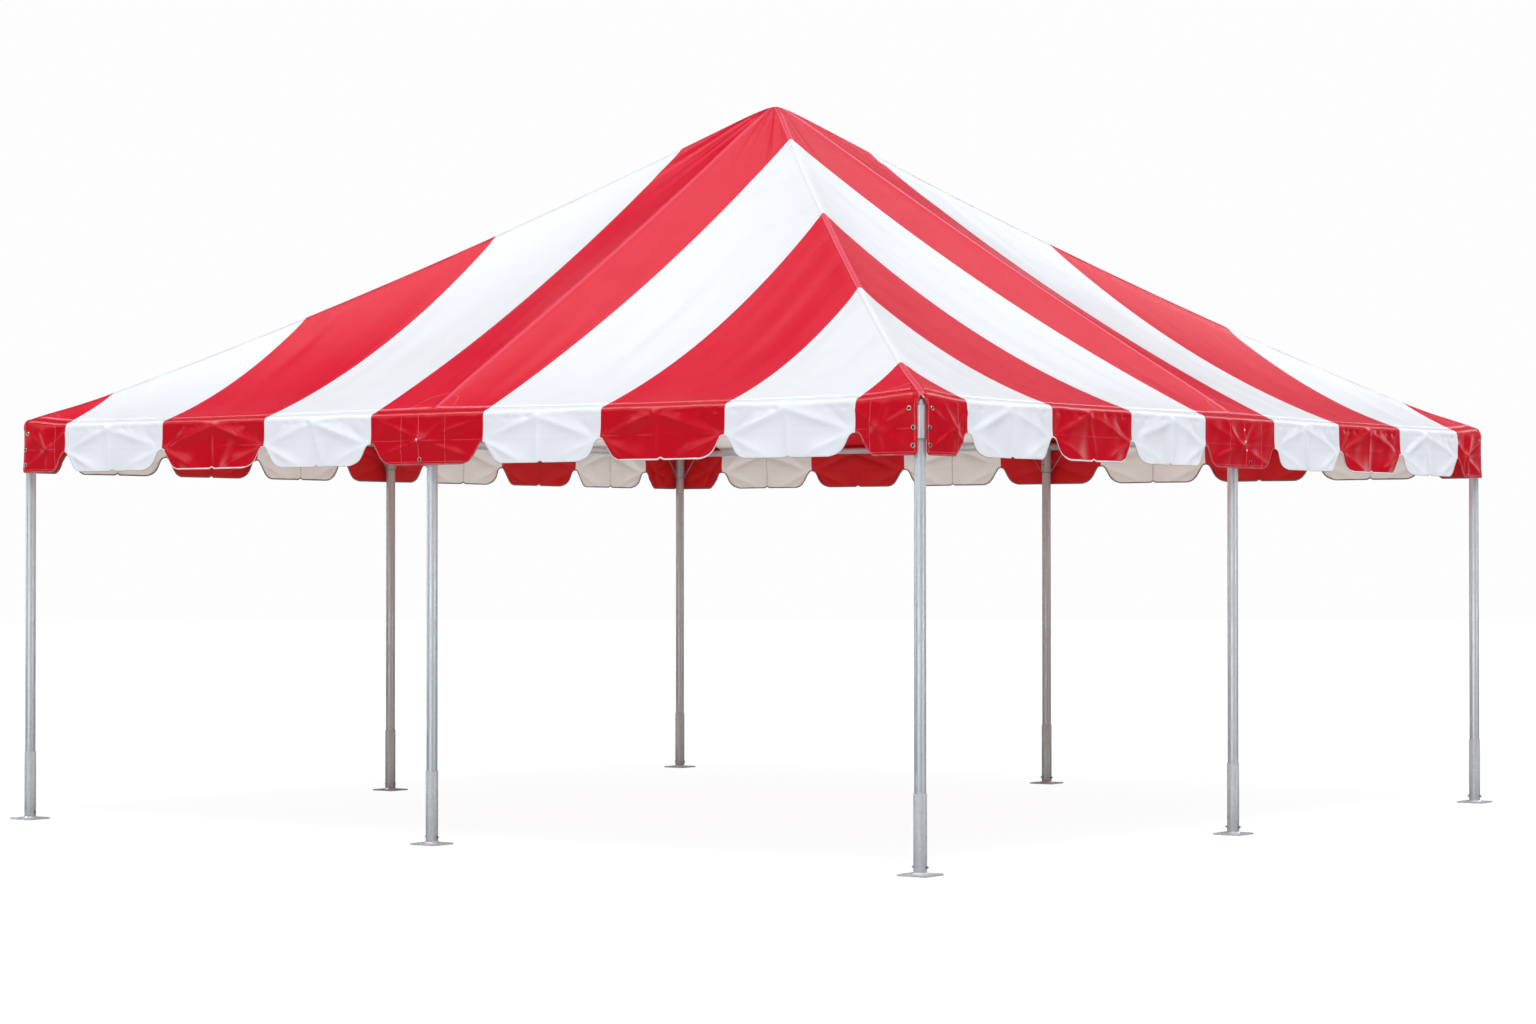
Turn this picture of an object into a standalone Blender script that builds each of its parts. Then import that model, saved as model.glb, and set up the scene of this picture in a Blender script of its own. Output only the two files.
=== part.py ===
# Striped frame tent with a square plan: eight tube legs on base plates, a ring of eave pipes,
# eight rafters that meet in a crown, and a hipped canopy with a scalloped valance.
# Units are metres and +Z is up. The origin is on the ground under the crown.

import math

import bmesh
import bpy
from mathutils import Matrix, Vector

# Plan
LEG_REACH = 3.048  # from the centre to the line of the leg axes, half of a 20 ft side
PANEL_WIDTH = 0.775  # one stripe of the canopy
PANELS = 9  # stripes on a side

# Heights
EAVE_PIPE_HEIGHT = 2.222
VALANCE_BOTTOM = 1.976
SHOULDER_HEIGHT = 2.254  # outer face of the cloth where it bends over the eave
PEAK_HEIGHT = 4.16

# Cloth
CLOTH = 0.004
SHOULDER_RADIUS = 0.030
VALANCE_OFFSET = 0.049  # from the line of the leg axes to the outer face of the valance
CORNER_SLIT = 0.032  # from the corner of the canopy to the end of each valance
HIP_SAG = 0.085
RAFTER_SAG = 0.035
CLOTH_SAG = 0.10  # between a hip and the rafter beside it
PEAK_ROUNDING = 0.05
PEAK_HOLE = 0.002
SCALLOP_HEIGHT = 0.112
SCALLOP_HALF_WIDTH = 0.122

# Tubes
LEG_RADIUS = 0.0286
PIPE_RADIUS = 0.0211
WALL = 0.002
SOCKET_WALL = 0.0035
SLIDING_GAP = 0.0004
GAP = 0.0003

# Feet
PLATE_SIDE = 0.165
PLATE_THICKNESS = 0.008
SLEEVE_HEIGHT = 0.385

# Fittings
LEG_SOCKET_BOTTOM = 2.053
LEG_SOCKET_TOP = 2.212
LEG_TOP = 2.196
SOCKET_REACH = 0.20  # from the centre of a fitting to the mouth of a socket
PIPE_START = 0.065  # from the leg axis to the end of an eave pipe
RAFTER_START = 0.090  # from the centre of a fitting to the end of a rafter
STRAIGHT_END = 0.30  # each rafter runs straight for this far from a fitting's centre
RAFTER_DROP = 0.037  # from the outer face of the cloth down to the axis of a rafter
BORE_SLACK = 0.004  # from the blind end of a bore to the end of the pipe in it
CROWN_RADIUS = 0.075
CROWN_CORE = 0.060  # where the crown's sockets start
CROWN_BOTTOM = 4.03
CROWN_SIDE = 0.07  # height of the hub's upright wall
CROWN_DEPTH = 0.018  # from the peak of the cloth down to the top of the hub

TUBE_SIDES = 12
LEG_SIDES = 16
RAFTER_POINTS = 7
ROOF_ROWS = 8
ROOF_COLUMNS = 8
SHOULDER_ROWS = 3
SCALLOP_POINTS = 5
DOME_STEPS = 3
SMOOTH_ANGLE = math.radians(35)

SIDES = ("front", "right", "back", "left")
CORNERS = ("front_left", "front_right", "back_right", "back_left")
SIDE_ENDS = (("left", "right"), ("front", "back"), ("right", "left"), ("back", "front"))

LEG_SOCKET_RADIUS = LEG_RADIUS + SLIDING_GAP + SOCKET_WALL
PIPE_SOCKET_RADIUS = PIPE_RADIUS + SLIDING_GAP + SOCKET_WALL
VALANCE_REACH = LEG_REACH + VALANCE_OFFSET
SHOULDER_REACH = VALANCE_REACH - SHOULDER_RADIUS
SHOULDER_CENTRE = SHOULDER_HEIGHT - SHOULDER_RADIUS
UP = Vector((0, 0, 1))


def clear_scene():
    for obj in list(bpy.data.objects):
        bpy.data.objects.remove(obj, do_unlink=True)


def make_material(name, colour, roughness, metallic):
    material = bpy.data.materials.new(name)
    material.use_nodes = True
    shader = material.node_tree.nodes["Principled BSDF"]
    shader.inputs["Base Color"].default_value = (*colour, 1)
    shader.inputs["Roughness"].default_value = roughness
    shader.inputs["Metallic"].default_value = metallic
    return material


def mesh_from(name, bm):
    """The mesh of a closed bmesh, with its faces pointing out and its round sides smooth."""
    bmesh.ops.recalc_face_normals(bm, faces=bm.faces)
    mesh = bpy.data.meshes.new(name)
    bm.to_mesh(mesh)
    bm.free()
    mesh.shade_smooth()
    mesh.set_sharp_from_angle(angle=SMOOTH_ANGLE)
    return mesh


def place(name, mesh, material, location=(0, 0, 0), turn=0.0):
    """An object of its own for a mesh that other pieces may share."""
    obj = bpy.data.objects.new(name, mesh)
    if not mesh.materials:
        mesh.materials.append(material)
    obj.location = location
    obj.rotation_euler.z = turn
    bpy.context.scene.collection.objects.link(obj)
    return obj


# Solids


def ring(bm, centre, direction, radius, sides):
    """Corners of a regular polygon across a direction, with one corner level with the centre."""
    across = direction.cross(UP)
    if across.length < 1e-6:
        across = Vector((1, 0, 0))
    across.normalize()
    upward = across.cross(direction).normalized()
    corners = []
    for i in range(sides):
        angle = 2 * math.pi * i / sides
        offset = math.cos(angle) * across + math.sin(angle) * upward
        corners.append(bm.verts.new(centre + radius * offset))
    return corners


def skin(bm, first, second):
    """The band of faces between two rings with the same number of corners."""
    for i in range(len(first)):
        j = (i + 1) % len(first)
        bm.faces.new((first[i], first[j], second[j], second[i]))


def directions_along(points):
    """The direction of a path at each of its points."""
    steps = [(b - a).normalized() for a, b in zip(points, points[1:])]
    inner = [(a + b).normalized() for a, b in zip(steps, steps[1:])]
    return [steps[0], *inner, steps[-1]]


def tube_mesh(name, points, radius, bore, sides):
    """A tube along a path, or a solid rod where the bore is 0."""
    bm = bmesh.new()
    points = [Vector(p) for p in points]
    headings = directions_along(points)
    outer = [ring(bm, p, d, radius, sides) for p, d in zip(points, headings)]
    for a, b in zip(outer, outer[1:]):
        skin(bm, a, b)
    if bore:
        inner = [ring(bm, p, d, bore, sides) for p, d in zip(points, headings)]
        for a, b in zip(inner, inner[1:]):
            skin(bm, a, b)
        skin(bm, outer[0], inner[0])
        skin(bm, outer[-1], inner[-1])
    else:
        bm.faces.new(outer[0])
        bm.faces.new(outer[-1])
    return mesh_from(name, bm)


def plate_mesh(name, side, thickness):
    bm = bmesh.new()
    size = Matrix.Diagonal((side, side, thickness, 1))
    bmesh.ops.create_cube(bm, size=1, matrix=Matrix.Translation((0, 0, thickness / 2)) @ size)
    return mesh_from(name, bm)


def turned_mesh(name, profile, sides):
    """A solid of revolution about Z, from (radius, height) pairs between its two poles."""
    bm = bmesh.new()
    bottom = bm.verts.new((0, 0, profile[0][1]))
    top = bm.verts.new((0, 0, profile[-1][1]))
    rings = [ring(bm, Vector((0, 0, z)), UP, r, sides) for r, z in profile[1:-1]]
    for a, b in zip(rings, rings[1:]):
        skin(bm, a, b)
    for i in range(sides):
        j = (i + 1) % sides
        bm.faces.new((bottom, rings[0][i], rings[0][j]))
        bm.faces.new((top, rings[-1][i], rings[-1][j]))
    return mesh_from(name, bm)


def fused_mesh(name, solids, bores):
    """One solid from several that overlap, with bores cut in it."""
    scene = bpy.context.scene.collection
    base = bpy.data.objects.new(name, solids[0])
    scene.objects.link(base)
    helpers = []
    steps = [(mesh, "UNION") for mesh in solids[1:]] + [(mesh, "DIFFERENCE") for mesh in bores]
    for mesh, operation in steps:
        helper = bpy.data.objects.new(name, mesh)
        scene.objects.link(helper)
        helpers.append(helper)
        modifier = base.modifiers.new(operation.title(), "BOOLEAN")
        modifier.operation = operation
        modifier.solver = "EXACT"
        modifier.object = helper
    graph = bpy.context.evaluated_depsgraph_get()
    mesh = bpy.data.meshes.new_from_object(base.evaluated_get(graph))
    for helper in (base, *helpers):
        bpy.data.objects.remove(helper, do_unlink=True)
    mesh.name = name
    mesh.shade_smooth()
    mesh.set_sharp_from_angle(angle=SMOOTH_ANGLE)
    return mesh


# Shape of the roof


def roof_height(out, along):
    """Outer face of the cloth on one slope: out is the distance from the centre towards the
    eave, and along is the distance to either side of the slope's middle."""
    reach = SHOULDER_REACH
    share = out / reach
    rounded = math.hypot(out, PEAK_ROUNDING) - PEAK_ROUNDING
    rounded_reach = math.hypot(reach, PEAK_ROUNDING) - PEAK_ROUNDING
    straight = PEAK_HEIGHT - (PEAK_HEIGHT - SHOULDER_HEIGHT) * rounded / rounded_reach
    bow = 4 * share * (1 - share)
    turn = min(1.0, abs(along) / out)
    supported = (RAFTER_SAG + (HIP_SAG - RAFTER_SAG) * turn) * bow
    slack = 27 / 4 * share**2 * (1 - share)
    free = CLOTH_SAG * slack * 4 * turn * (1 - turn)
    return straight - supported - free


def rafter_axis(distance, diagonal):
    """A point on a rafter's axis in the XZ plane, at a level distance from the centre."""
    stretch = math.sqrt(2) if diagonal else 1
    out = distance / stretch
    return Vector((distance, 0, roof_height(out, out if diagonal else 0) - RAFTER_DROP))


def rafter_ends(diagonal):
    """The straight stretches of a rafter: inner start and end, then outer end and start."""
    reach = LEG_REACH * (math.sqrt(2) if diagonal else 1)
    inner = rafter_axis(RAFTER_START, diagonal), rafter_axis(STRAIGHT_END, diagonal)
    outer = rafter_axis(reach - STRAIGHT_END, diagonal), Vector((reach, 0, EAVE_PIPE_HEIGHT))
    return inner, outer


def rafter_path(diagonal):
    (start, bend), (far_bend, centre) = rafter_ends(diagonal)
    points = [start, bend]
    for i in range(1, RAFTER_POINTS):
        share = i / RAFTER_POINTS
        distance = bend.x + (far_bend.x - bend.x) * share
        points.append(rafter_axis(distance, diagonal))
    points.append(far_bend)
    points.append(centre - RAFTER_START * (centre - far_bend).normalized())
    return points


# Feet and legs


def foot_mesh():
    """A square base plate with an upright sleeve that the leg stands in."""
    plate = plate_mesh("plate", PLATE_SIDE, PLATE_THICKNESS)
    bottom = Vector((0, 0, PLATE_THICKNESS / 2))
    sleeve = tube_mesh("sleeve", (bottom, UP * SLEEVE_HEIGHT), LEG_SOCKET_RADIUS, 0, LEG_SIDES)
    bore_ends = (UP * PLATE_THICKNESS, UP * (SLEEVE_HEIGHT + PLATE_THICKNESS))
    bore = tube_mesh("bore", bore_ends, LEG_RADIUS + SLIDING_GAP, 0, LEG_SIDES)
    return fused_mesh("foot", [plate, sleeve], [bore])


def leg_mesh():
    ends = (UP * (PLATE_THICKNESS + GAP), UP * LEG_TOP)
    return tube_mesh("leg", ends, LEG_RADIUS, LEG_RADIUS - WALL, LEG_SIDES)


# Fittings, made about the leg axis at the height of the eave pipes


def leg_socket():
    """The upright socket of a fitting and the bore that takes the top of the leg."""
    bottom = UP * (LEG_SOCKET_BOTTOM - EAVE_PIPE_HEIGHT)
    top = UP * (LEG_SOCKET_TOP - EAVE_PIPE_HEIGHT)
    ceiling = UP * (LEG_TOP + BORE_SLACK - EAVE_PIPE_HEIGHT)
    solid = tube_mesh("leg_socket", (bottom, top), LEG_SOCKET_RADIUS, 0, LEG_SIDES)
    mouth = bottom - UP * SLIDING_GAP
    bore = tube_mesh("leg_bore", (mouth, ceiling), LEG_RADIUS + SLIDING_GAP, 0, LEG_SIDES)
    return solid, bore


def pipe_socket(direction, core, start, centre=Vector((0, 0, 0))):
    """A socket that takes a pipe's end, and its bore. The core is where the solid begins."""
    ends = (centre + core * direction, centre + SOCKET_REACH * direction)
    solid = tube_mesh("socket", ends, PIPE_SOCKET_RADIUS, 0, TUBE_SIDES)
    blind = centre + (start - BORE_SLACK) * direction
    mouth = centre + (SOCKET_REACH + SLIDING_GAP) * direction
    bore = tube_mesh("bore", (blind, mouth), PIPE_RADIUS + SLIDING_GAP, 0, TUBE_SIDES)
    return solid, bore


def fitting_mesh(name, eave_directions, inward, diagonal):
    """A leg socket, two eave sockets, and a socket that slopes up towards the crown."""
    far_bend, centre = rafter_ends(diagonal)[1]
    rise = (far_bend - centre).normalized().z
    level = math.sqrt(1 - rise**2)
    uphill = level * inward + rise * UP
    in_line = eave_directions[0].dot(eave_directions[1]) < 0
    core = -SOCKET_REACH if in_line else -PIPE_SOCKET_RADIUS
    parts = [leg_socket()]
    parts += [pipe_socket(direction, core, PIPE_START) for direction in eave_directions]
    parts.append(pipe_socket(uphill, 0, RAFTER_START))
    solids = [solid for solid, _ in parts]
    if in_line:
        solids.pop(2)
    return fused_mesh(name, solids, [bore for _, bore in parts])


def crown_mesh():
    """A domed hub with a socket for each of the eight rafters."""
    dome_start = CROWN_BOTTOM + CROWN_SIDE
    dome_height = PEAK_HEIGHT - CROWN_DEPTH - dome_start
    profile = [(0, CROWN_BOTTOM), (CROWN_RADIUS, CROWN_BOTTOM)]
    for i in range(DOME_STEPS + 1):
        angle = math.pi / 2 * i / DOME_STEPS
        profile.append((CROWN_RADIUS * math.cos(angle), dome_start + dome_height * math.sin(angle)))
    solids = [turned_mesh("hub", profile, LEG_SIDES)]
    bores = []
    for i in range(8):
        start, bend = rafter_ends(i % 2 == 0)[0]
        slope = (bend - start).normalized()
        spin = Matrix.Rotation(math.radians(45 * i + 45), 3, "Z")
        centre = start - RAFTER_START * slope
        core = (CROWN_CORE - centre.x) / slope.x
        solid, bore = pipe_socket(spin @ slope, core, RAFTER_START, spin @ centre)
        solids.append(solid)
        bores.append(bore)
    return fused_mesh("crown", solids, bores)


# Canopy


def roof_rows():
    """(out, drop, angle) of each row of a slope, from the peak over the shoulder."""
    outs = [PEAK_HOLE, PEAK_ROUNDING, 2 * PEAK_ROUNDING]
    outs += [SHOULDER_REACH * i / ROOF_ROWS for i in range(1, ROOF_ROWS)]
    rows = [(out, None) for out in outs]
    for i in range(SHOULDER_ROWS + 1):
        rows.append((None, math.pi / 2 * i / SHOULDER_ROWS))
    return rows


def roof_point(row, column, depth):
    """A corner of the grid on the front slope. Depth is 0 outside and CLOTH inside."""
    out, angle = row
    if angle is None:
        height = roof_height(out, column * out) - depth
    else:
        radius = SHOULDER_RADIUS - depth
        out = SHOULDER_REACH + radius * math.sin(angle)
        height = SHOULDER_CENTRE + radius * math.cos(angle)
    return Vector((column * (out - GAP), -out, height))


def roof_mesh():
    """One triangular slope of the canopy, mitred along its two hips and bent over the eave."""
    bm = bmesh.new()
    columns = [2 * i / ROOF_COLUMNS - 1 for i in range(ROOF_COLUMNS + 1)]
    grids = []
    for depth in (0, CLOTH):
        grid = [[bm.verts.new(roof_point(r, c, depth)) for c in columns] for r in roof_rows()]
        grids.append(grid)
        for upper, lower in zip(grid, grid[1:]):
            for i in range(ROOF_COLUMNS):
                bm.faces.new((upper[i], upper[i + 1], lower[i + 1], lower[i]))
    outside, inside = grids
    edges = [list(pair) for pair in ((outside[0], inside[0]), (outside[-1], inside[-1]))]
    for column in (0, -1):
        edges.append([[row[column] for row in outside], [row[column] for row in inside]])
    for top, under in edges:
        for i in range(len(top) - 1):
            bm.faces.new((top[i], top[i + 1], under[i + 1], under[i]))
    return mesh_from("roof_panel", bm)


def scallop(centre):
    """The points of one bell-shaped notch, from left to right."""
    points = []
    for i in range(-SCALLOP_POINTS, SCALLOP_POINTS + 1):
        share = i / SCALLOP_POINTS
        rise = SCALLOP_HEIGHT * (1 + math.cos(math.pi * share)) / 2
        points.append((centre + SCALLOP_HALF_WIDTH * share, VALANCE_BOTTOM + rise))
    return points


def valance_mesh():
    """A hanging strip with a notch at each seam between two stripes."""
    end = VALANCE_REACH - CORNER_SLIT
    top = SHOULDER_CENTRE - GAP
    outline = [(-end, top), (-end, VALANCE_BOTTOM)]
    for i in range(1, PANELS):
        outline += scallop(PANEL_WIDTH * (i - PANELS / 2))
    outline += [(end, VALANCE_BOTTOM), (end, top)]
    bm = bmesh.new()
    face = bm.faces.new([bm.verts.new((x, -VALANCE_REACH, z)) for x, z in outline])
    extruded = bmesh.ops.extrude_face_region(bm, geom=[face])
    moved = [item for item in extruded["geom"] if isinstance(item, bmesh.types.BMVert)]
    bmesh.ops.translate(bm, vec=(0, CLOTH, 0), verts=moved)
    return mesh_from("valance", bm)


# The pieces in their places


def make_legs(tube, casting):
    foot = foot_mesh()
    leg = leg_mesh()
    for i, (corner, side) in enumerate(zip(CORNERS, SIDES)):
        turn = Matrix.Rotation(i * math.pi / 2, 3, "Z")
        at_corner = turn @ Vector((-LEG_REACH, -LEG_REACH, 0))
        at_middle = turn @ Vector((0, -LEG_REACH, 0))
        for spot, location in ((corner, at_corner), (f"{side}_middle", at_middle)):
            place(f"foot_{spot}", foot, casting, location)
            place(f"leg_{spot}", leg, tube, location)


def make_fittings(casting):
    right = Vector((1, 0, 0))
    back = Vector((0, 1, 0))
    corner_fitting = fitting_mesh("corner_fitting", (right, back), (right + back).normalized(), True)
    side_fitting = fitting_mesh("side_fitting", (right, -right), back, False)
    for i, (corner, side) in enumerate(zip(CORNERS, SIDES)):
        angle = i * math.pi / 2
        turn = Matrix.Rotation(angle, 3, "Z")
        at_corner = turn @ Vector((-LEG_REACH, -LEG_REACH, EAVE_PIPE_HEIGHT))
        at_middle = turn @ Vector((0, -LEG_REACH, EAVE_PIPE_HEIGHT))
        place(f"corner_fitting_{corner}", corner_fitting, casting, at_corner, angle)
        place(f"side_fitting_{side}", side_fitting, casting, at_middle, angle)
    place("crown_fitting", crown_mesh(), casting)


def make_eave_pipes(tube):
    length = LEG_REACH - 2 * PIPE_START
    ends = ((-length / 2, 0, 0), (length / 2, 0, 0))
    pipe = tube_mesh("eave_pipe", ends, PIPE_RADIUS, PIPE_RADIUS - WALL, TUBE_SIDES)
    for i, side in enumerate(SIDES):
        angle = i * math.pi / 2
        turn = Matrix.Rotation(angle, 3, "Z")
        for half, name in zip((-1, 1), SIDE_ENDS[i]):
            location = turn @ Vector((half * LEG_REACH / 2, -LEG_REACH, EAVE_PIPE_HEIGHT))
            place(f"eave_pipe_{side}_{name}", pipe, tube, location, angle)


def make_rafters(tube):
    hip = tube_mesh("hip", rafter_path(True), PIPE_RADIUS, PIPE_RADIUS - WALL, TUBE_SIDES)
    straight = tube_mesh("side", rafter_path(False), PIPE_RADIUS, PIPE_RADIUS - WALL, TUBE_SIDES)
    for i, (corner, side) in enumerate(zip(CORNERS, SIDES)):
        place(f"hip_rafter_{corner}", hip, tube, turn=math.radians(225 + 90 * i))
        place(f"side_rafter_{side}", straight, tube, turn=math.radians(270 + 90 * i))


def make_canopy(vinyl):
    roof = roof_mesh()
    valance = valance_mesh()
    for i, side in enumerate(SIDES):
        place(f"roof_panel_{side}", roof, vinyl, turn=i * math.pi / 2)
        place(f"valance_{side}", valance, vinyl, turn=i * math.pi / 2)


def main():
    clear_scene()
    tube = make_material("galvanised tube", (0.62, 0.64, 0.66), 0.35, 1.0)
    casting = make_material("galvanised fitting", (0.42, 0.43, 0.44), 0.55, 1.0)
    vinyl = make_material("striped vinyl", (0.80, 0.03, 0.06), 0.4, 0.0)
    make_legs(tube, casting)
    make_fittings(casting)
    make_eave_pipes(tube)
    make_rafters(tube)
    make_canopy(vinyl)


main()
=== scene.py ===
import math

import bmesh
import bpy
import numpy as np
from mathutils import Matrix, Vector


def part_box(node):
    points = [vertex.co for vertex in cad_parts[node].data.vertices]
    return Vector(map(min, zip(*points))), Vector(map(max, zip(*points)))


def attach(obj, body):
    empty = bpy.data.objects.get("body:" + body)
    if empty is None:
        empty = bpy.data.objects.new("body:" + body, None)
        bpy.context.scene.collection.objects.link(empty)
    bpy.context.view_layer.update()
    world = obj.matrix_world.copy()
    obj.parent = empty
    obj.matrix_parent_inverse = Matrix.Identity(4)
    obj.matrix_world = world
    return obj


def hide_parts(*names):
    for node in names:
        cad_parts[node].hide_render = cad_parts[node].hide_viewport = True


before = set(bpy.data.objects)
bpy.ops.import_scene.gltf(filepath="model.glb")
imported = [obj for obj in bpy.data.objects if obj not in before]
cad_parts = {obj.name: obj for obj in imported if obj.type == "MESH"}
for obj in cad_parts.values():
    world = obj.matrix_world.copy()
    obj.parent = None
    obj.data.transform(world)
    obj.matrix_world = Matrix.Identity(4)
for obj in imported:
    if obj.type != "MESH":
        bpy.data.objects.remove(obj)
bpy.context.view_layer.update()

sides = ("front", "right", "back", "left")
endCorners = ("front_right", "back_right", "back_left", "front_left")  # at the + end of each side

# the tent's main sizes, in metres: the legs, the cloth's reach and its lowest edge come from the frame
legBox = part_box("leg_front_right")
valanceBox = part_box("valance_right")
tent = {
    "legReach": (legBox[0].x + legBox[1].x) / 2,  # from the centre to the leg axes
    "clothReach": valanceBox[1].x,  # to the outer face of the valance
    "valanceBottom": valanceBox[0].z,
    "shoulderMiddle": 2.224,  # where the bend over the eave turns upright
    "shoulderRadius": 0.030,
    "peak": 4.16,
    "pipeHeight": 2.222,
    "panel": 0.775,  # one stripe
}
shoulderReach = tent["clothReach"] - tent["shoulderRadius"]
shoulderHeight = tent["shoulderMiddle"] + tent["shoulderRadius"]


# helpers for pieces

def deselectAll():
    if bpy.context.object and bpy.context.object.mode != "OBJECT":
        bpy.ops.object.mode_set(mode="OBJECT")
    bpy.ops.object.select_all(action="DESELECT")


def selectOnly(piece):
    deselectAll()
    piece.select_set(True)
    bpy.context.view_layer.objects.active = piece


def linkObject(name, data):
    made = bpy.data.objects.new(name, data)
    bpy.context.scene.collection.objects.link(made)
    return made


def addCylinder(place, radius, height, direction=(0, 0, 1), sides=48, ends="NGON"):
    deselectAll()
    turn = Vector(direction).to_track_quat("Z", "Y").to_euler()
    bpy.ops.mesh.primitive_cylinder_add(vertices=sides, radius=radius, depth=height,
                                        end_fill_type=ends, location=place, rotation=turn)
    return bpy.context.object


def addRod(start, end, radius, sides=12):
    start, end = Vector(start), Vector(end)
    return addCylinder((start + end) / 2, radius, (end - start).length, end - start, sides)


def resizeMesh(*size):
    # the new primitive, all of it selected, is brought to its size in edit mode
    bpy.ops.object.mode_set(mode="EDIT")
    bpy.ops.transform.resize(value=size)
    bpy.ops.object.mode_set(mode="OBJECT")
    return bpy.context.object


def applyModifier(piece, kind, **settings):
    selectOnly(piece)
    modifier = piece.modifiers.new(kind.lower(), kind)
    for key, value in settings.items():
        setattr(modifier, key, value)
    bpy.ops.object.modifier_apply(modifier=modifier.name)


def hollow(piece, wall):
    applyModifier(piece, "SOLIDIFY", thickness=wall, offset=-1)
    applyModifier(piece, "BEVEL", width=0.0005, segments=2, limit_method="ANGLE")


def joinPieces(name, pieces):
    selectOnly(pieces[0])
    for piece in pieces:
        piece.select_set(True)
    if len(pieces) > 1:
        bpy.ops.object.join()
    joined = bpy.context.object
    joined.name = name
    joined.data.name = name
    return joined


def settle(piece):
    # the object's origin goes to the tent's, its place stays in the mesh
    selectOnly(piece)
    bpy.ops.object.transform_apply(location=True, rotation=True, scale=True)
    bpy.ops.object.shade_smooth_by_angle(angle=math.radians(35))
    return piece


def copyTo(piece, name, place=(0, 0, 0), turn=0):
    twin = linkObject(name, piece.data.copy())
    twin.data.name = name
    twin.data.transform(Matrix.Translation(place) @ Matrix.Rotation(turn * math.pi / 2, 4, "Z"))
    return twin


def paint(piece, *materials):
    piece.data.materials.clear()
    for material in materials:
        piece.data.materials.append(material)
    return piece


def finishPiece(piece, slot, *nodes):
    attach(piece, "root")
    if nodes:
        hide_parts(*nodes)
    return piece


# helpers for materials: nodes, groups and plain finishes

def newNode(tree, kind, **settings):
    made = tree.nodes.new(kind)
    for key, value in settings.items():
        setattr(made, key, value)
    return made


def join(tree, source, target):
    tree.links.new(source, target)


def fill(tree, socket, value):
    if isinstance(value, (int, float)):
        socket.default_value = value
    elif isinstance(value, tuple):
        socket.default_value = (*value, 1) if len(socket.default_value) == 4 else value
    else:
        join(tree, value, socket)


def mathNode(tree, operation, *values):
    made = newNode(tree, "ShaderNodeMath", operation=operation)
    for socket, value in zip(made.inputs, values):
        fill(tree, socket, value)
    return made.outputs[0]


def plus(tree, first, *others):
    for other in others:
        first = mathNode(tree, "ADD", first, other)
    return first


def times(tree, first, *others):
    for other in others:
        first = mathNode(tree, "MULTIPLY", first, other)
    return first


def noiseNode(tree, vector, scale, detail=2.0, roughness=0.5):
    made = newNode(tree, "ShaderNodeTexNoise")
    join(tree, vector, made.inputs["Vector"])
    for name, value in (("Scale", scale), ("Detail", detail), ("Roughness", roughness)):
        made.inputs[name].default_value = value
    return made.outputs["Fac"]


def rangeNode(tree, value, low, high, newLow=0.0, newHigh=1.0):
    made = newNode(tree, "ShaderNodeMapRange", interpolation_type="SMOOTHSTEP")
    join(tree, value, made.inputs["Value"])
    for name, number in (("From Min", low), ("From Max", high), ("To Min", newLow), ("To Max", newHigh)):
        made.inputs[name].default_value = number
    return made.outputs["Result"]


def mixColour(tree, factor, first, second, blend="MIX"):
    made = newNode(tree, "ShaderNodeMix", data_type="RGBA", blend_type=blend)
    for socket, value in ((made.inputs[0], factor), (made.inputs[6], first), (made.inputs[7], second)):
        fill(tree, socket, value)
    return made.outputs[2]


def newGroup(name, inputs, outputs):
    group = bpy.data.node_groups.new(name, "ShaderNodeTree")
    for label, kind in inputs:
        group.interface.new_socket(label, in_out="INPUT", socket_type=kind)
    for label, kind in outputs:
        group.interface.new_socket(label, in_out="OUTPUT", socket_type=kind)
    return group, newNode(group, "NodeGroupInput"), newNode(group, "NodeGroupOutput")


def placeGroup(tree, group, vector=None, **values):
    made = newNode(tree, "ShaderNodeGroup", node_tree=group)
    if vector is not None:
        join(tree, vector, made.inputs["Vector"])
    for name, value in values.items():
        fill(tree, made.inputs[name], value)
    return made


def splitVector(tree, vector):
    made = newNode(tree, "ShaderNodeSeparateXYZ")
    join(tree, vector, made.inputs[0])
    return made.outputs["X"], made.outputs["Y"], made.outputs["Z"]


def joinVector(tree, *parts):
    made = newNode(tree, "ShaderNodeCombineXYZ")
    for socket, part in zip(made.inputs, parts):
        fill(tree, socket, part)
    return made.outputs[0]


def addBump(tree, shader, height, distance, strength=1.0):
    bump = newNode(tree, "ShaderNodeBump")
    bump.inputs["Strength"].default_value = strength
    bump.inputs["Distance"].default_value = distance
    join(tree, height, bump.inputs["Height"])
    join(tree, bump.outputs[0], shader.inputs["Normal"])


def startMaterial(name):
    material = bpy.data.materials.new(name)
    material.use_nodes = True
    tree = material.node_tree
    return material, tree, tree.nodes["Principled BSDF"]


def plainMaterial(name, colour, roughness, metallic=0.0):
    material, _, shader = startMaterial(name)
    shader.inputs["Base Color"].default_value = (*colour, 1)
    shader.inputs["Roughness"].default_value = roughness
    shader.inputs["Metallic"].default_value = metallic
    return material


# camera first, at the photo's angle

cameraSetup = {
    "place": (12.267, -16.929, 1.505),
    "azimuth": -36.05,  # degrees from +Y, positive towards +X
    "elevation": 0.70,
    "focalPixels": 3540.0,  # in an image 1536 pixels wide
    "sensor": 36.0,
    "farClip": 400.0,
}


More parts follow.
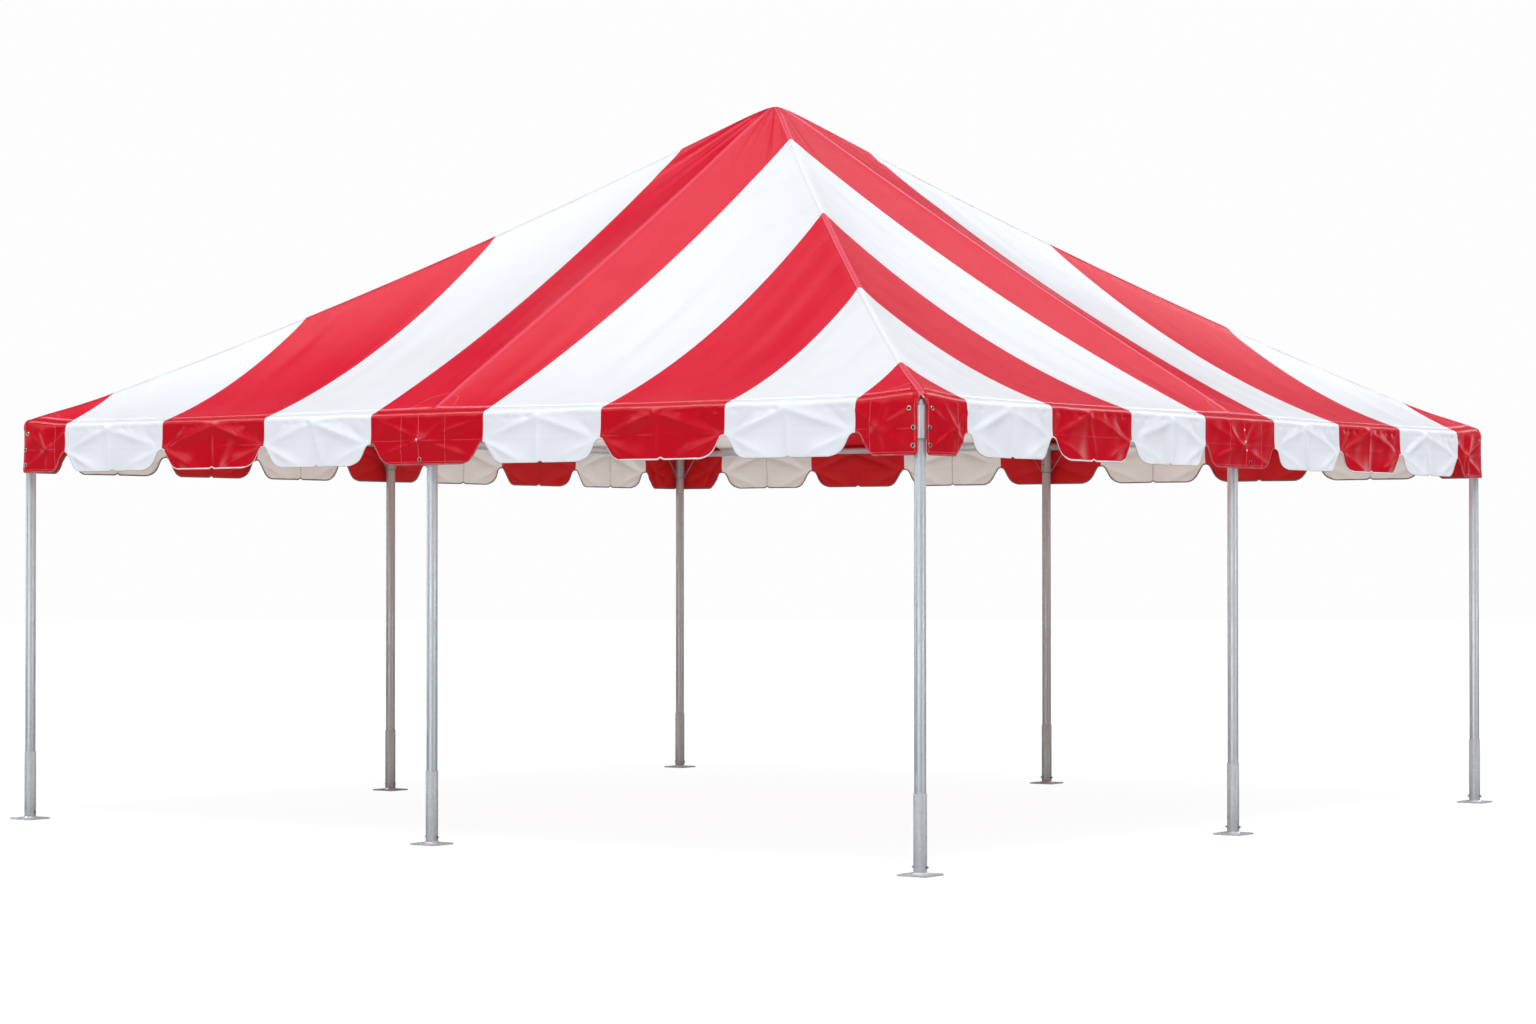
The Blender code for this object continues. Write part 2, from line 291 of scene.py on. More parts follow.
def makeCamera(setup):
    data = bpy.data.cameras.new("camera")
    data.sensor_fit = "HORIZONTAL"
    data.sensor_width = setup["sensor"]
    data.lens = setup["focalPixels"] / 1536 * setup["sensor"]
    data.clip_end = setup["farClip"]
    camera = linkObject("camera", data)
    camera.location = setup["place"]
    camera.rotation_euler = (math.radians(90 + setup["elevation"]), 0, math.radians(-setup["azimuth"]))
    bpy.context.scene.camera = camera


makeCamera(cameraSetup)
print("camera in place")


# studio: pale floor, pale sky with soft boxes, and a soft sun

studio = {
    "floorRadius": 60.0,
    "floorGlow": 0.925,
    "floorColour": (0.09, 0.09, 0.09),
    "background": 0.985,  # what the camera sees behind the tent
    # the sky: edge is the sine of the elevations between which it turns bright, and each soft box
    # has a direction, a radius in degrees and a strength
    "light": {"low": 0.26, "top": 1.02, "edge": (0.35, 0.85), "tint": (0.965, 0.98, 1.0), "boxes": (
        ((0.25, -0.96, 0.10), 30.0, 0.48),
        ((0.95, -0.10, 0.25), 24.0, 0.22),
        ((0.38, 0.20, 0.90), 25.0, 0.50),
    )},
    # what the gloss of the cloth and the steel mirrors
    "mirror": {"low": 0.012, "top": 1.0, "edge": (0.66, 0.80), "tint": (0.88, 0.95, 1.0), "boxes": (
        ((0.06, -0.99, 0.0), 22.0, 1.6),
        ((0.98, -0.04, 0.0), 18.0, 1.1),
        ((0.62, -0.78, 0.0), 14.0, 0.75),
        ((-0.22, 0.74, 0.64), 12.0, 0.65),
        ((-0.60, -0.22, 0.77), 11.0, 11.0),
        ((0.20, 0.78, 0.58), 10.0, 9.0),
        ((-0.62, -0.62, 0.46), 9.0, 4.5),
        ((-0.96, -0.26, 0.10), 9.0, 3.4),
        ((0.55, 0.68, 0.48), 8.0, 3.0),
        ((0.95, 0.30, 0.10), 8.0, 2.4),
        ((0.14, 0.98, 0.12), 8.0, 2.2),
    )},
    "sunStrength": 1.25,
    "sunSpread": 12.0,
    "sunTurn": 38.0,  # degrees from the front towards the right
    "sunHeight": 64.0,
}


def makeFloor(setup):
    deselectAll()
    bpy.ops.mesh.primitive_circle_add(vertices=96, radius=setup["floorRadius"], fill_type="NGON")
    floor = bpy.context.object
    floor.name = "floor"
    material = plainMaterial("studioFloor", setup["floorColour"], 1.0)
    shader = material.node_tree.nodes["Principled BSDF"]
    shader.inputs["Specular IOR Level"].default_value = 0.0
    shader.inputs["Emission Color"].default_value = (1, 1, 1, 1)
    shader.inputs["Emission Strength"].default_value = setup["floorGlow"]
    paint(floor, material)
    floor.visible_glossy = False  # the cloth mirrors the dim lower sky instead


def skyStrength(tree, way, sky):
    strength = rangeNode(tree, splitVector(tree, way)[2], *sky["edge"], sky["low"], sky["top"])
    for direction, radius, power in sky["boxes"]:
        facing = newNode(tree, "ShaderNodeVectorMath", operation="DOT_PRODUCT")
        join(tree, way, facing.inputs[0])
        facing.inputs[1].default_value = Vector(direction).normalized()
        near = math.cos(math.radians(radius * 0.75))
        far = math.cos(math.radians(radius * 1.25))
        strength = plus(tree, strength, rangeNode(tree, facing.outputs["Value"], far, near, 0.0, power))
    return strength


def makeSky(setup):
    world = bpy.data.worlds.new("studioSky")
    bpy.context.scene.world = world
    world.use_nodes = True
    tree = world.node_tree
    tree.nodes.clear()
    way = newNode(tree, "ShaderNodeTexCoord").outputs["Generated"]
    ray = newNode(tree, "ShaderNodeLightPath")
    skies = (
        (None, setup["light"]["tint"], skyStrength(tree, way, setup["light"])),
        ("Is Glossy Ray", setup["mirror"]["tint"], skyStrength(tree, way, setup["mirror"])),
        ("Is Camera Ray", (1, 1, 1), setup["background"]),
    )
    for flag, tint, strength in skies:  # the later two take the first's place on their kind of ray
        sky = newNode(tree, "ShaderNodeBackground")
        fill(tree, sky.inputs["Color"], tint)
        fill(tree, sky.inputs["Strength"], strength)
        if flag is None:
            result = sky.outputs[0]
            continue
        mix = newNode(tree, "ShaderNodeMixShader")
        for socket, source in zip(mix.inputs, (ray.outputs[flag], result, sky.outputs[0])):
            join(tree, source, socket)
        result = mix.outputs[0]
    join(tree, result, newNode(tree, "ShaderNodeOutputWorld").inputs["Surface"])


def makeStudio(setup):
    bpy.context.scene.view_settings.view_transform = "Standard"
    makeFloor(setup)
    makeSky(setup)
    sun = bpy.data.lights.new("softSun", "SUN")
    sun.energy = setup["sunStrength"]
    sun.angle = math.radians(setup["sunSpread"])
    lamp = linkObject("softSun", sun)
    lamp.rotation_euler = (math.radians(90 - setup["sunHeight"]), 0, math.radians(setup["sunTurn"]))


makeStudio(studio)
print("studio lit")


# shape of the cloth

roofShape = {
    "hipSag": 0.085,
    "rafterSag": 0.035,
    "clothSag": 0.10,  # between a hip and the rafter beside it
    "peakRounding": 0.05,
    "hipRounding": 0.030,  # the cloth turns over the rafter pipes
    "hipDrop": 0.003,
    "hipWidth": 0.055,
    "ridgeRounding": 0.012,
    "ridgeHeight": 0.008,  # where a side rafter presses the cloth up
    "ridgeWidth": 0.022,
    "softReach": 0.8,  # the roundings grow tighter from here towards the peak
    "lap": 3.046,  # edge of the roof sheet, which laps over the eave band
    "cornerRounding": 0.055,  # in plan, at the end of the hips
    "roundingStart": 2.7,  # from the centre to where that rounding begins
    "roundingRun": 0.36,
    "cornerLift": 0.026,  # the corner fittings push the cloth up
    "cornerLiftReach": 0.24,
}


def localPlaces(x, y, turn):
    c = math.cos(turn * math.pi / 2)
    s = math.sin(turn * math.pi / 2)
    return x * c + y * s, x * s - y * c  # along the eave, and out from the centre


def worldPlaces(along, out, z, turn):
    c = math.cos(turn * math.pi / 2)
    s = math.sin(turn * math.pi / 2)
    return np.stack([along * c + out * s, along * s - out * c, z], -1)


def worldWay(turn, out=1.0, up=0.0):
    # a direction out from the middle of a side, and up
    return worldPlaces(np.array([0.0]), np.array([out]), np.array([up]), turn)[0]


def roundCorners(points):
    # in plan the canopy turns each corner of the eave in a small arc
    more = np.maximum(np.abs(points[..., 0]), np.abs(points[..., 1]))
    less = np.minimum(np.abs(points[..., 0]), np.abs(points[..., 1]))
    grown = np.clip((more - roofShape["roundingStart"]) / roofShape["roundingRun"], 0, 1)
    radius = roofShape["cornerRounding"] * grown**2
    inner = more - radius
    angle = np.clip((less - inner) / np.maximum(radius, 1e-9), 0, 1) * math.pi / 4
    newMore = np.where(less > inner, inner + radius * np.cos(angle), more)
    newLess = np.where(less > inner, inner + radius * np.sin(angle), less)
    wide = np.abs(points[..., 0]) >= np.abs(points[..., 1])
    result = points.copy()
    result[..., 0] = np.sign(points[..., 0]) * np.where(wide, newMore, newLess)
    result[..., 1] = np.sign(points[..., 1]) * np.where(wide, newLess, newMore)
    return result


def slopeHeight(out, along):
    # a slope of the canopy, out from the centre and along the eave from its middle
    shape = roofShape
    share = out / shoulderReach
    soft = shape["peakRounding"]
    rounded = np.hypot(out, soft) - soft
    fall = (tent["peak"] - shoulderHeight) / (math.hypot(shoulderReach, soft) - soft)
    turn = np.clip(along / np.maximum(out, 1e-9), 0, 1)
    bow = 4 * share * (1 - share)
    carried = (shape["rafterSag"] + (shape["hipSag"] - shape["rafterSag"]) * turn) * bow
    slack = 27 / 4 * share**2 * (1 - share)
    free = shape["clothSag"] * slack * 4 * turn * (1 - turn)
    return tent["peak"] - fall * rounded - carried - free


def softSlopeHeight(a, b):
    # the same, rounded where two slopes meet and along the middle of each
    shape = roofShape
    away = np.clip((a + b) / shape["softReach"], 0.15, 1)
    gap = np.sqrt((a - b) ** 2 + (shape["hipRounding"] * away) ** 2)
    out = (a + b + gap) / 2
    along = np.abs((a + b - gap) / 2)
    ridge = shape["ridgeRounding"] * away
    pressed = shape["ridgeHeight"] * np.exp(-((along / shape["ridgeWidth"]) ** 2))
    pressed = pressed * np.clip(out / 0.3, 0, 1) * np.clip((shoulderReach - out) / 0.25, 0, 1)
    return slopeHeight(out, np.sqrt(along**2 + ridge**2) - ridge) + pressed


def roofHeight(x, y):
    a = np.abs(x)
    b = np.abs(y)
    middle = (a + b) / 2
    crest = slopeHeight(middle, middle) - roofShape["hipDrop"]
    lift = (crest - softSlopeHeight(middle, middle)) * np.exp(-(((a - b) / roofShape["hipWidth"]) ** 2))
    return softSlopeHeight(a, b) + lift


# folds that run down from the peak: where each lies between the middle of a slope (0) and its hips
# (-1, 1), and in metres how far down it reaches, its width there and its height

peakFolds = {
    "front": ((0.30, 0.95, 0.040, 0.008), (0.50, 0.80, 0.030, 0.008), (0.64, 0.62, 0.022, 0.006),
              (0.76, 0.50, 0.020, 0.005), (0.87, 0.62, 0.018, 0.004), (-0.30, 1.1, 0.05, 0.007),
              (-0.62, 0.8, 0.03, 0.008)),
    "right": ((-0.84, 0.6, 0.022, 0.009), (-0.62, 0.5, 0.03, 0.005), (0.40, 1.0, 0.05, 0.008),
              (0.72, 0.8, 0.035, 0.010)),
    "back": ((-0.75, 0.6, 0.03, 0.009), (-0.4, 0.8, 0.04, 0.007), (0.25, 0.7, 0.045, 0.008),
             (0.65, 0.6, 0.03, 0.010)),
    "left": ((-0.6, 0.7, 0.035, 0.010), (-0.2, 0.6, 0.04, 0.006), (0.4, 0.9, 0.045, 0.008),
             (0.8, 0.55, 0.025, 0.009)),
}
longFolds = {
    "seed": 11,
    "height": 0.0016,
    "lengths": (0.31, 0.23, 0.17, 0.12),
    "hipRest": 0.06,  # nothing moves at a hip, nor at the eave
    "eaveRest": 3.04,
}


def roofFolds(x, y):
    total = np.zeros_like(x)
    random = np.random.default_rng(longFolds["seed"])
    for turn, side in enumerate(sides):
        along, out = localPlaces(x, y, turn)
        here = (out > 0) & (np.abs(along) <= out)
        safeOut = np.maximum(out, 1e-6)
        share = np.abs(along) / safeOut
        quiet = np.clip((1 - share) * safeOut / longFolds["hipRest"], 0, 1)
        quiet = quiet * quiet * (3 - 2 * quiet) * np.clip((longFolds["eaveRest"] - out) / 0.25, 0, 1)
        added = np.zeros_like(x)
        for place, reach, width, height in peakFolds[side]:
            across = along - place * out
            down = out / reach
            wide = width * (0.25 + 0.75 * np.minimum(1, down))
            grow = np.clip((out - 0.03) / 0.15, 0, 1) * np.clip(1.25 - down, 0, 1) ** 1.5
            added += height * grow * np.exp(-((across / wide) ** 2))
            added -= 0.6 * height * grow * np.exp(-(((across - 1.8 * wide) / wide) ** 2))
        for length in longFolds["lengths"]:
            phase = random.uniform(0, 2 * math.pi)
            drift = random.uniform(-0.12, 0.12)
            swell = random.uniform(0.5, 1.1)
            wave = np.cos(2 * math.pi * (along + drift * out) / length + phase)
            wave *= 0.6 + 0.4 * np.cos(swell * 2.6 * out + 2 * phase)
            height = longFolds["height"] * length / longFolds["lengths"][0]
            added += height * wave * np.clip(out / 0.9, 0, 1)
        total += np.where(here, added * quiet, 0)
    return total


def cornerLift(x, y):
    a = np.abs(x)
    b = np.abs(y)
    away = np.hypot(shoulderReach - a, shoulderReach - b) / roofShape["cornerLiftReach"]
    return roofShape["cornerLift"] * np.exp(-(away**2))


def roofSurface(x, y):
    return roofHeight(x, y) + roofFolds(x, y) + cornerLift(x, y)


def onRoof(along, out, turn, lift=0.0):
    points = worldPlaces(along, np.full_like(along, out), 0 * along, turn)
    points[:, 2] = roofSurface(points[:, 0], points[:, 1]) + lift
    return points


# cloth sheets

def gridQuads(rows, columns):
    index = np.arange(rows * columns).reshape(rows, columns)
    corners = (index[:-1, :-1], index[1:, :-1], index[1:, 1:], index[:-1, 1:])
    return np.stack(corners, -1)


def sheetObject(name, points, faces, thickness=0.0, lining=()):
    # lining: the finish of the outer face, of the inner face and of the cut edge
    mesh = bpy.data.meshes.new(name)
    mesh.from_pydata(points.reshape(-1, 3).tolist(), [], faces)
    piece = linkObject(name, mesh)
    mesh.shade_smooth()
    if thickness:
        paint(piece, *lining)
        applyModifier(piece, "SOLIDIFY", thickness=thickness, offset=-1, material_offset=1,
                      material_offset_rim=2)
    return piece


def sweptSheet(name, rows, *finish):
    points = np.array(rows)
    return sheetObject(name, points, gridQuads(*points.shape[:2]).reshape(-1, 4).tolist(), *finish)


# vinyl cloth

vinylFinish = {
    "red": (0.70, 0.003, 0.026),
    "white": (0.835, 0.855, 0.885),
    "stripeRounding": 0.028,  # the stripes' corners are rounded where they meet on a hip
    "roughness": 0.31,
    "specular": 0.34,
    "storageFold": 2.102,  # height of the level crease along the valance
    "foldShow": 0.09,
    "foldWaver": 0.008,
    "foldWidth": (0.0035, 0.0008),  # half the width of a crease, where it ends and where it is full
    "foldShadeOnWhite": (0.62, 0.65, 0.70),
    "foldOnRed": (0.92, 0.55, 0.58),
    "middleFoldShade": 0.0,  # how dark the painted shade of the upright fold in the middle of each panel shows
    "middleWidth": (0.008, 0.002),
    "middleFoldShadeTone": (0.05, 0.03, 0.03),
    "grime": (0.955, 0.95, 0.945),
}
# what differs from vinylFinish in each kind of cloth
vinylKinds = {
    "striped": {},
    # the valance's red is painted darker and its white bluer than the roof's: painted shade of the upright
    # faces, which get less light than the roof
    "valance": {"red": (0.56, 0.001, 0.012), "white": (0.81, 0.84, 0.90), "roughness": 0.295,
                "specular": 0.21},
    # the inner kind is painted darker and browner than the outer cloth: painted shade of the tent's inside
    # and of the cut edges
    "inner": {"red": (0.545, 0.006, 0.009), "white": (0.77, 0.74, 0.695), "roughness": 0.5,
              "specular": 0.2, "foldShow": 0.0, "middleFoldShade": 0.35},
    # painted light on the strips: their red is painted pinker than the roof's as a painted sheen, the next
    # kind is a painted highlight for the welded edges and the roof's cut edge, and the last is a painted
    # shade beside the edges
    "strip": {"red": (0.76, 0.040, 0.080), "roughness": 0.295},
    "paintedEdgeHighlight": {"red": (0.86, 0.24, 0.29), "roughness": 0.3},
    "paintedStripShade": {"red": (0.50, 0.008, 0.024), "white": (0.70, 0.75, 0.81)},
}
wrinkleShape = {
    "fanLean": 0.55,
    "fanWaver": 0.10,
    "fanScale": (42.0, 2.2, 0.7),  # across the wrinkles, along them, and from left to right
    "fanReach": (0.42, 0.02),  # from a hip: where they have died away and where they are full
    "fanHeight": 0.0021,
    "eaveFade": (2.235, 2.262),
    "slackHeight": 0.0012,
    "pleatHeight": 0.060,
    "pleatReach": (0.80, 0.25),  # from the peak, as for the fan
    "peakRest": (0.04, 0.14),
}


def stripeGroup():
    # how far a point is from the middle of its side decides its stripe
    group, given, result = newGroup(
        "stripePattern", [("Vector", "NodeSocketVector"), ("Width", "NodeSocketFloat")],
        [("Red", "NodeSocketFloat"), ("Along", "NodeSocketFloat"), ("Out", "NodeSocketFloat")])
    x, y, _ = splitVector(group, given.outputs["Vector"])
    a = mathNode(group, "ABSOLUTE", x)
    b = mathNode(group, "ABSOLUTE", y)
    along = mathNode(group, "SMOOTH_MIN", a, b, vinylFinish["stripeRounding"])
    out = mathNode(group, "MAXIMUM", a, b)
    share = mathNode(group, "DIVIDE", along, given.outputs["Width"])
    odd = mathNode(group, "MODULO", mathNode(group, "FLOOR", plus(group, share, 0.5)), 2.0)
    join(group, mathNode(group, "SUBTRACT", 1.0, odd), result.inputs["Red"])
    join(group, along, result.inputs["Along"])
    join(group, out, result.inputs["Out"])
    return group


def wrinkleGroup(setup):
    # fine wrinkles that fan out from the hips and die away, slow uneven slackness, and folds that
    # run straight down from the peak
    group, given, result = newGroup(
        "clothWrinkles",
        [("Vector", "NodeSocketVector"), ("Along", "NodeSocketFloat"), ("Out", "NodeSocketFloat")],
        [("Height", "NodeSocketFloat"), ("Rub", "NodeSocketFloat")])
    place, along, out = (given.outputs[name] for name in ("Vector", "Along", "Out"))
    x, y, z = splitVector(group, place)
    bend = noiseNode(group, place, 2.3, 1.0)
    lean = setup["fanLean"]
    across = plus(group, along, times(group, out, lean), times(group, bend, setup["fanWaver"]))
    down = mathNode(group, "SUBTRACT", out, times(group, along, lean))
    flow = joinVector(group, *(times(group, part, scale)
                               for part, scale in zip((across, down, x), setup["fanScale"])))
    fan = noiseNode(group, flow, 1.0, 1.2, 0.4)
    nearHip = rangeNode(group, mathNode(group, "SUBTRACT", out, along), *setup["fanReach"])
    aboveEave = rangeNode(group, z, *setup["eaveFade"])
    slack = noiseNode(group, place, 5.0, 1.0, 0.4)
    safeOut = mathNode(group, "MAXIMUM", out, 0.02)
    ray = joinVector(group, mathNode(group, "DIVIDE", x, safeOut), mathNode(group, "DIVIDE", y, safeOut))
    fade = times(group, *(rangeNode(group, out, *setup[name]) for name in ("pleatReach", "peakRest")))
    pleats = times(group, noiseNode(group, ray, 5.5, 1.0, 0.4), out, fade, setup["pleatHeight"])
    height = plus(group, times(group, fan, nearHip, aboveEave, setup["fanHeight"]),
                  times(group, slack, setup["slackHeight"]), pleats)
    join(group, height, result.inputs["Height"])
    join(group, noiseNode(group, place, 3.1, 4.0, 0.6), result.inputs["Rub"])
    return group


stripePattern = stripeGroup()
clothWrinkles = wrinkleGroup(wrinkleShape)


def vinylMaterial(name, finish):
    material, tree, shader = startMaterial(name)
    place = newNode(tree, "ShaderNodeTexCoord").outputs["Object"]
    height = splitVector(tree, place)[2]
    stripes = placeGroup(tree, stripePattern, place, Width=tent["panel"])
    red, along, out = (stripes.outputs[name] for name in ("Red", "Along", "Out"))
    wrinkles = placeGroup(tree, clothWrinkles, place, Along=along, Out=out)
    colour = mixColour(tree, red, finish["white"], finish["red"])
    # the level crease, where the cloth was folded for storage, is painted paler on red and darker on white,
    # the darker line being painted shade in the crease
    waver = times(tree, noiseNode(tree, place, 3.0, 2.0), finish["foldWaver"])
    middle = finish["storageFold"] + finish["foldWaver"] / 2
    level = mathNode(tree, "SUBTRACT", plus(tree, height, waver), middle)
    line = rangeNode(tree, mathNode(tree, "ABSOLUTE", level), *finish["foldWidth"])
    broken = rangeNode(tree, noiseNode(tree, place, 7.0, 3.0), 0.46, 0.6)
    creaseTone = mixColour(tree, red, finish["foldShadeOnWhite"], finish["foldOnRed"])
    colour = mixColour(tree, times(tree, line, broken, finish["foldShow"]), colour, creaseTone)
    # inside, a painted shade line marks the upright fold down the middle of each panel
    share = mathNode(tree, "DIVIDE", along, tent["panel"])
    fromMiddle = mathNode(tree, "SUBTRACT", share, mathNode(tree, "ROUND", share))
    line = rangeNode(tree, mathNode(tree, "ABSOLUTE", fromMiddle), *finish["middleWidth"], 0.0,
                     finish["middleFoldShade"])
    line = times(tree, line, rangeNode(tree, height, 2.24, 2.16))
    colour = mixColour(tree, line, colour, finish["middleFoldShadeTone"])
    rub = wrinkles.outputs["Rub"]
    colour = mixColour(tree, rangeNode(tree, rub, 0.50, 0.75), colour, finish["grime"], "MULTIPLY")
    join(tree, colour, shader.inputs["Base Color"])
    rough = rangeNode(tree, rub, 0.3, 0.7, finish["roughness"] - 0.01, finish["roughness"] + 0.06)
    join(tree, rough, shader.inputs["Roughness"])
    shader.inputs["Specular IOR Level"].default_value = finish["specular"]
    addBump(tree, shader, wrinkles.outputs["Height"], 1.0)
    return material


vinyl = {kind: vinylMaterial(f"{kind}Vinyl", {**vinylFinish, **changes})
         for kind, changes in vinylKinds.items()}
print("cloth finish made")


# roof: one sheet over all four slopes

roofGrid = {
    "nearSteps": (0.007, 0.007, 0.008, 0.010, 0.012, 0.014),  # beside the middle of each slope
    "peakSpacing": 0.02,
    "peakZone": 0.40,
    "spacing": 0.0325,
    "thickness": 0.0012,
}


def gridLines(setup):
    lines = [0.0]
    for step in setup["nearSteps"]:
        lines.append(lines[-1] + step)
    count = round((setup["peakZone"] - lines[-1]) / setup["peakSpacing"])
    lines += list(np.linspace(lines[-1], setup["peakZone"], count + 1)[1:])
    count = round((roofShape["lap"] - lines[-1]) / setup["spacing"])
    lines += list(np.linspace(lines[-1], roofShape["lap"], count + 1)[1:])
    half = np.array(lines)
    return np.concatenate([-half[:0:-1], half])


def makeRoof(setup):
    lines = gridLines(setup)
    x, y = np.meshgrid(lines, lines, indexing="ij")
    points = roundCorners(np.stack([x, y, roofSurface(x, y)], -1))
    count = len(lines)
    quads = gridQuads(count, count)
    faces = []
    for i in range(count - 1):
        for j in range(count - 1):
            a, b, c, d = (int(k) for k in quads[i, j])
            if i == j:  # split along the hip
                faces += [(a, b, c), (a, c, d)]
            elif i + j == count - 2:
                faces += [(a, b, d), (b, c, d)]
            else:
                faces.append((a, b, c, d))
    # the roof's inner face takes the inner vinyl, painted darker as painted shade, and its cut edge is
    # painted pale as a painted highlight along the lap
    roof = sheetObject("canopy_roof", points, faces, setup["thickness"],
                       (vinyl["striped"], vinyl["inner"], vinyl["paintedEdgeHighlight"]))
    return finishPiece(roof, "striped_vinyl", *(f"roof_panel_{side}" for side in sides))


canopyRoof = makeRoof(roofGrid)
print("roof sheet laid")


# valances: a band from the roof's edge over the shoulder and down to the scallops

valanceShape = {
    "start": 3.008,  # hidden under the edge of the roof sheet
    "underlap": 0.0014,
    "roofRows": 6,
    "bendRows": 7,
    "hangRows": 26,
    "columns": 640,
    "thickness": 0.0012,
    "notchHeight": 0.112,
    "notchWidth": 0.055,  # half the width of a notch at half its height
    "notchReach": 0.142,
    "flapNotchReach": 0.102,  # beside the corner flaps
    "tuckHeight": 0.009,
    "tuckHalf": 0.020,
    "cornerSlit": 0.031,
    "slitTop": 2.243,
    "flapRounding": 0.014,
    "hemHeight": 0.017,
    "hemRise": 0.0010,
    "liftLimits": (-0.013, 0.036),  # how far in and out the folds may stand
    "foldStart": 0.024,  # above the middle of the shoulder
    "foldRun": 0.03,
    "endRest": 0.02,
    "sheetHeight": 0.355,  # of the flat cloth, from the lap to the lowest edge
}


def isLegPanel(along):
    return (np.abs(along) < tent["panel"] / 2) | (np.abs(along) > tent["panel"] * 3.5)


def bottomEdge(along):
    shape = valanceShape
    share = np.abs((along / tent["panel"] - 0.5) - np.round(along / tent["panel"] - 0.5))
    fromSeam = share * tent["panel"]
    notch = 1 / (1 + (fromSeam / shape["notchWidth"]) ** 3)
    reach = np.where(np.abs(along) > tent["panel"] * 3.5, shape["flapNotchReach"], shape["notchReach"])
    notch = notch * np.clip(1 - (fromSeam / reach) ** 4, 0, 1)
    notch = np.where(np.abs(along) > tent["panel"] * 4.2, 0, notch)
    fromMiddle = (along / tent["panel"] - np.round(along / tent["panel"])) * tent["panel"]
    near = np.clip(1 - np.abs(fromMiddle / shape["tuckHalf"]), 0, 1)
    tuck = near * near * (3 - 2 * near) * np.where(isLegPanel(along), 0, 1)
    end = tent["clothReach"] - shape["cornerSlit"]
    r = shape["flapRounding"]
    inset = np.clip(np.abs(along) - (end - r), 0, r)
    rounding = r - np.sqrt(np.maximum(r * r - inset * inset, 0))
    return tent["valanceBottom"] + shape["notchHeight"] * notch + shape["tuckHeight"] * tuck + rounding


def crease(along, drop, start, end, height, width, rounding=0.004):
    # a straight fold in the cloth that dies away towards its ends
    dx = end[0] - start[0]
    dy = end[1] - start[1]
    long = math.hypot(dx, dy)
    share = np.clip(((along - start[0]) * dx + (drop - start[1]) * dy) / long**2, 0, 1)
    away = np.hypot(along - start[0] - share * dx, drop - start[1] - share * dy)
    sharp = np.exp(-(np.sqrt(away**2 + rounding**2) - rounding) / width)
    return height * sharp * np.sin(math.pi * (0.12 + 0.80 * share)) ** 0.8


# ends are places along the eave and down from the shoulder
creaseSet = {
    "seed": 5,
    "bulge": 0.009,
    "flare": 0.025,
    "pucker": 0.0060,
    "storage": 0.0016,
    "ripple": (0.0011, (0.41, 0.27, 0.15)),  # height and lengths
    "rightShare": 0.72,  # the right side's free panels hang smoother
    "freeHeight": 0.0205,
    "legHeight": 0.0115,
    "middleKnotDrop": 0.125,  # where the folds over a leg meet, at its tie
    "middleEnds": ((-0.34, 0.02), (0.33, 0.03), (-0.30, 0.20), (0.31, 0.22), (-0.12, 0.01), (0.16, 0.0)),
    "cornerKnot": (2.83, 0.122),
    "cornerEnds": ((2.69, 0.02), (3.04, 0.03), (2.74, 0.20), (3.04, 0.225), (2.90, 0.01), (2.86, 0.24)),
    "cusp": (0.36, 0.140),  # from the middle of a free panel to the tops of the notches beside it
}


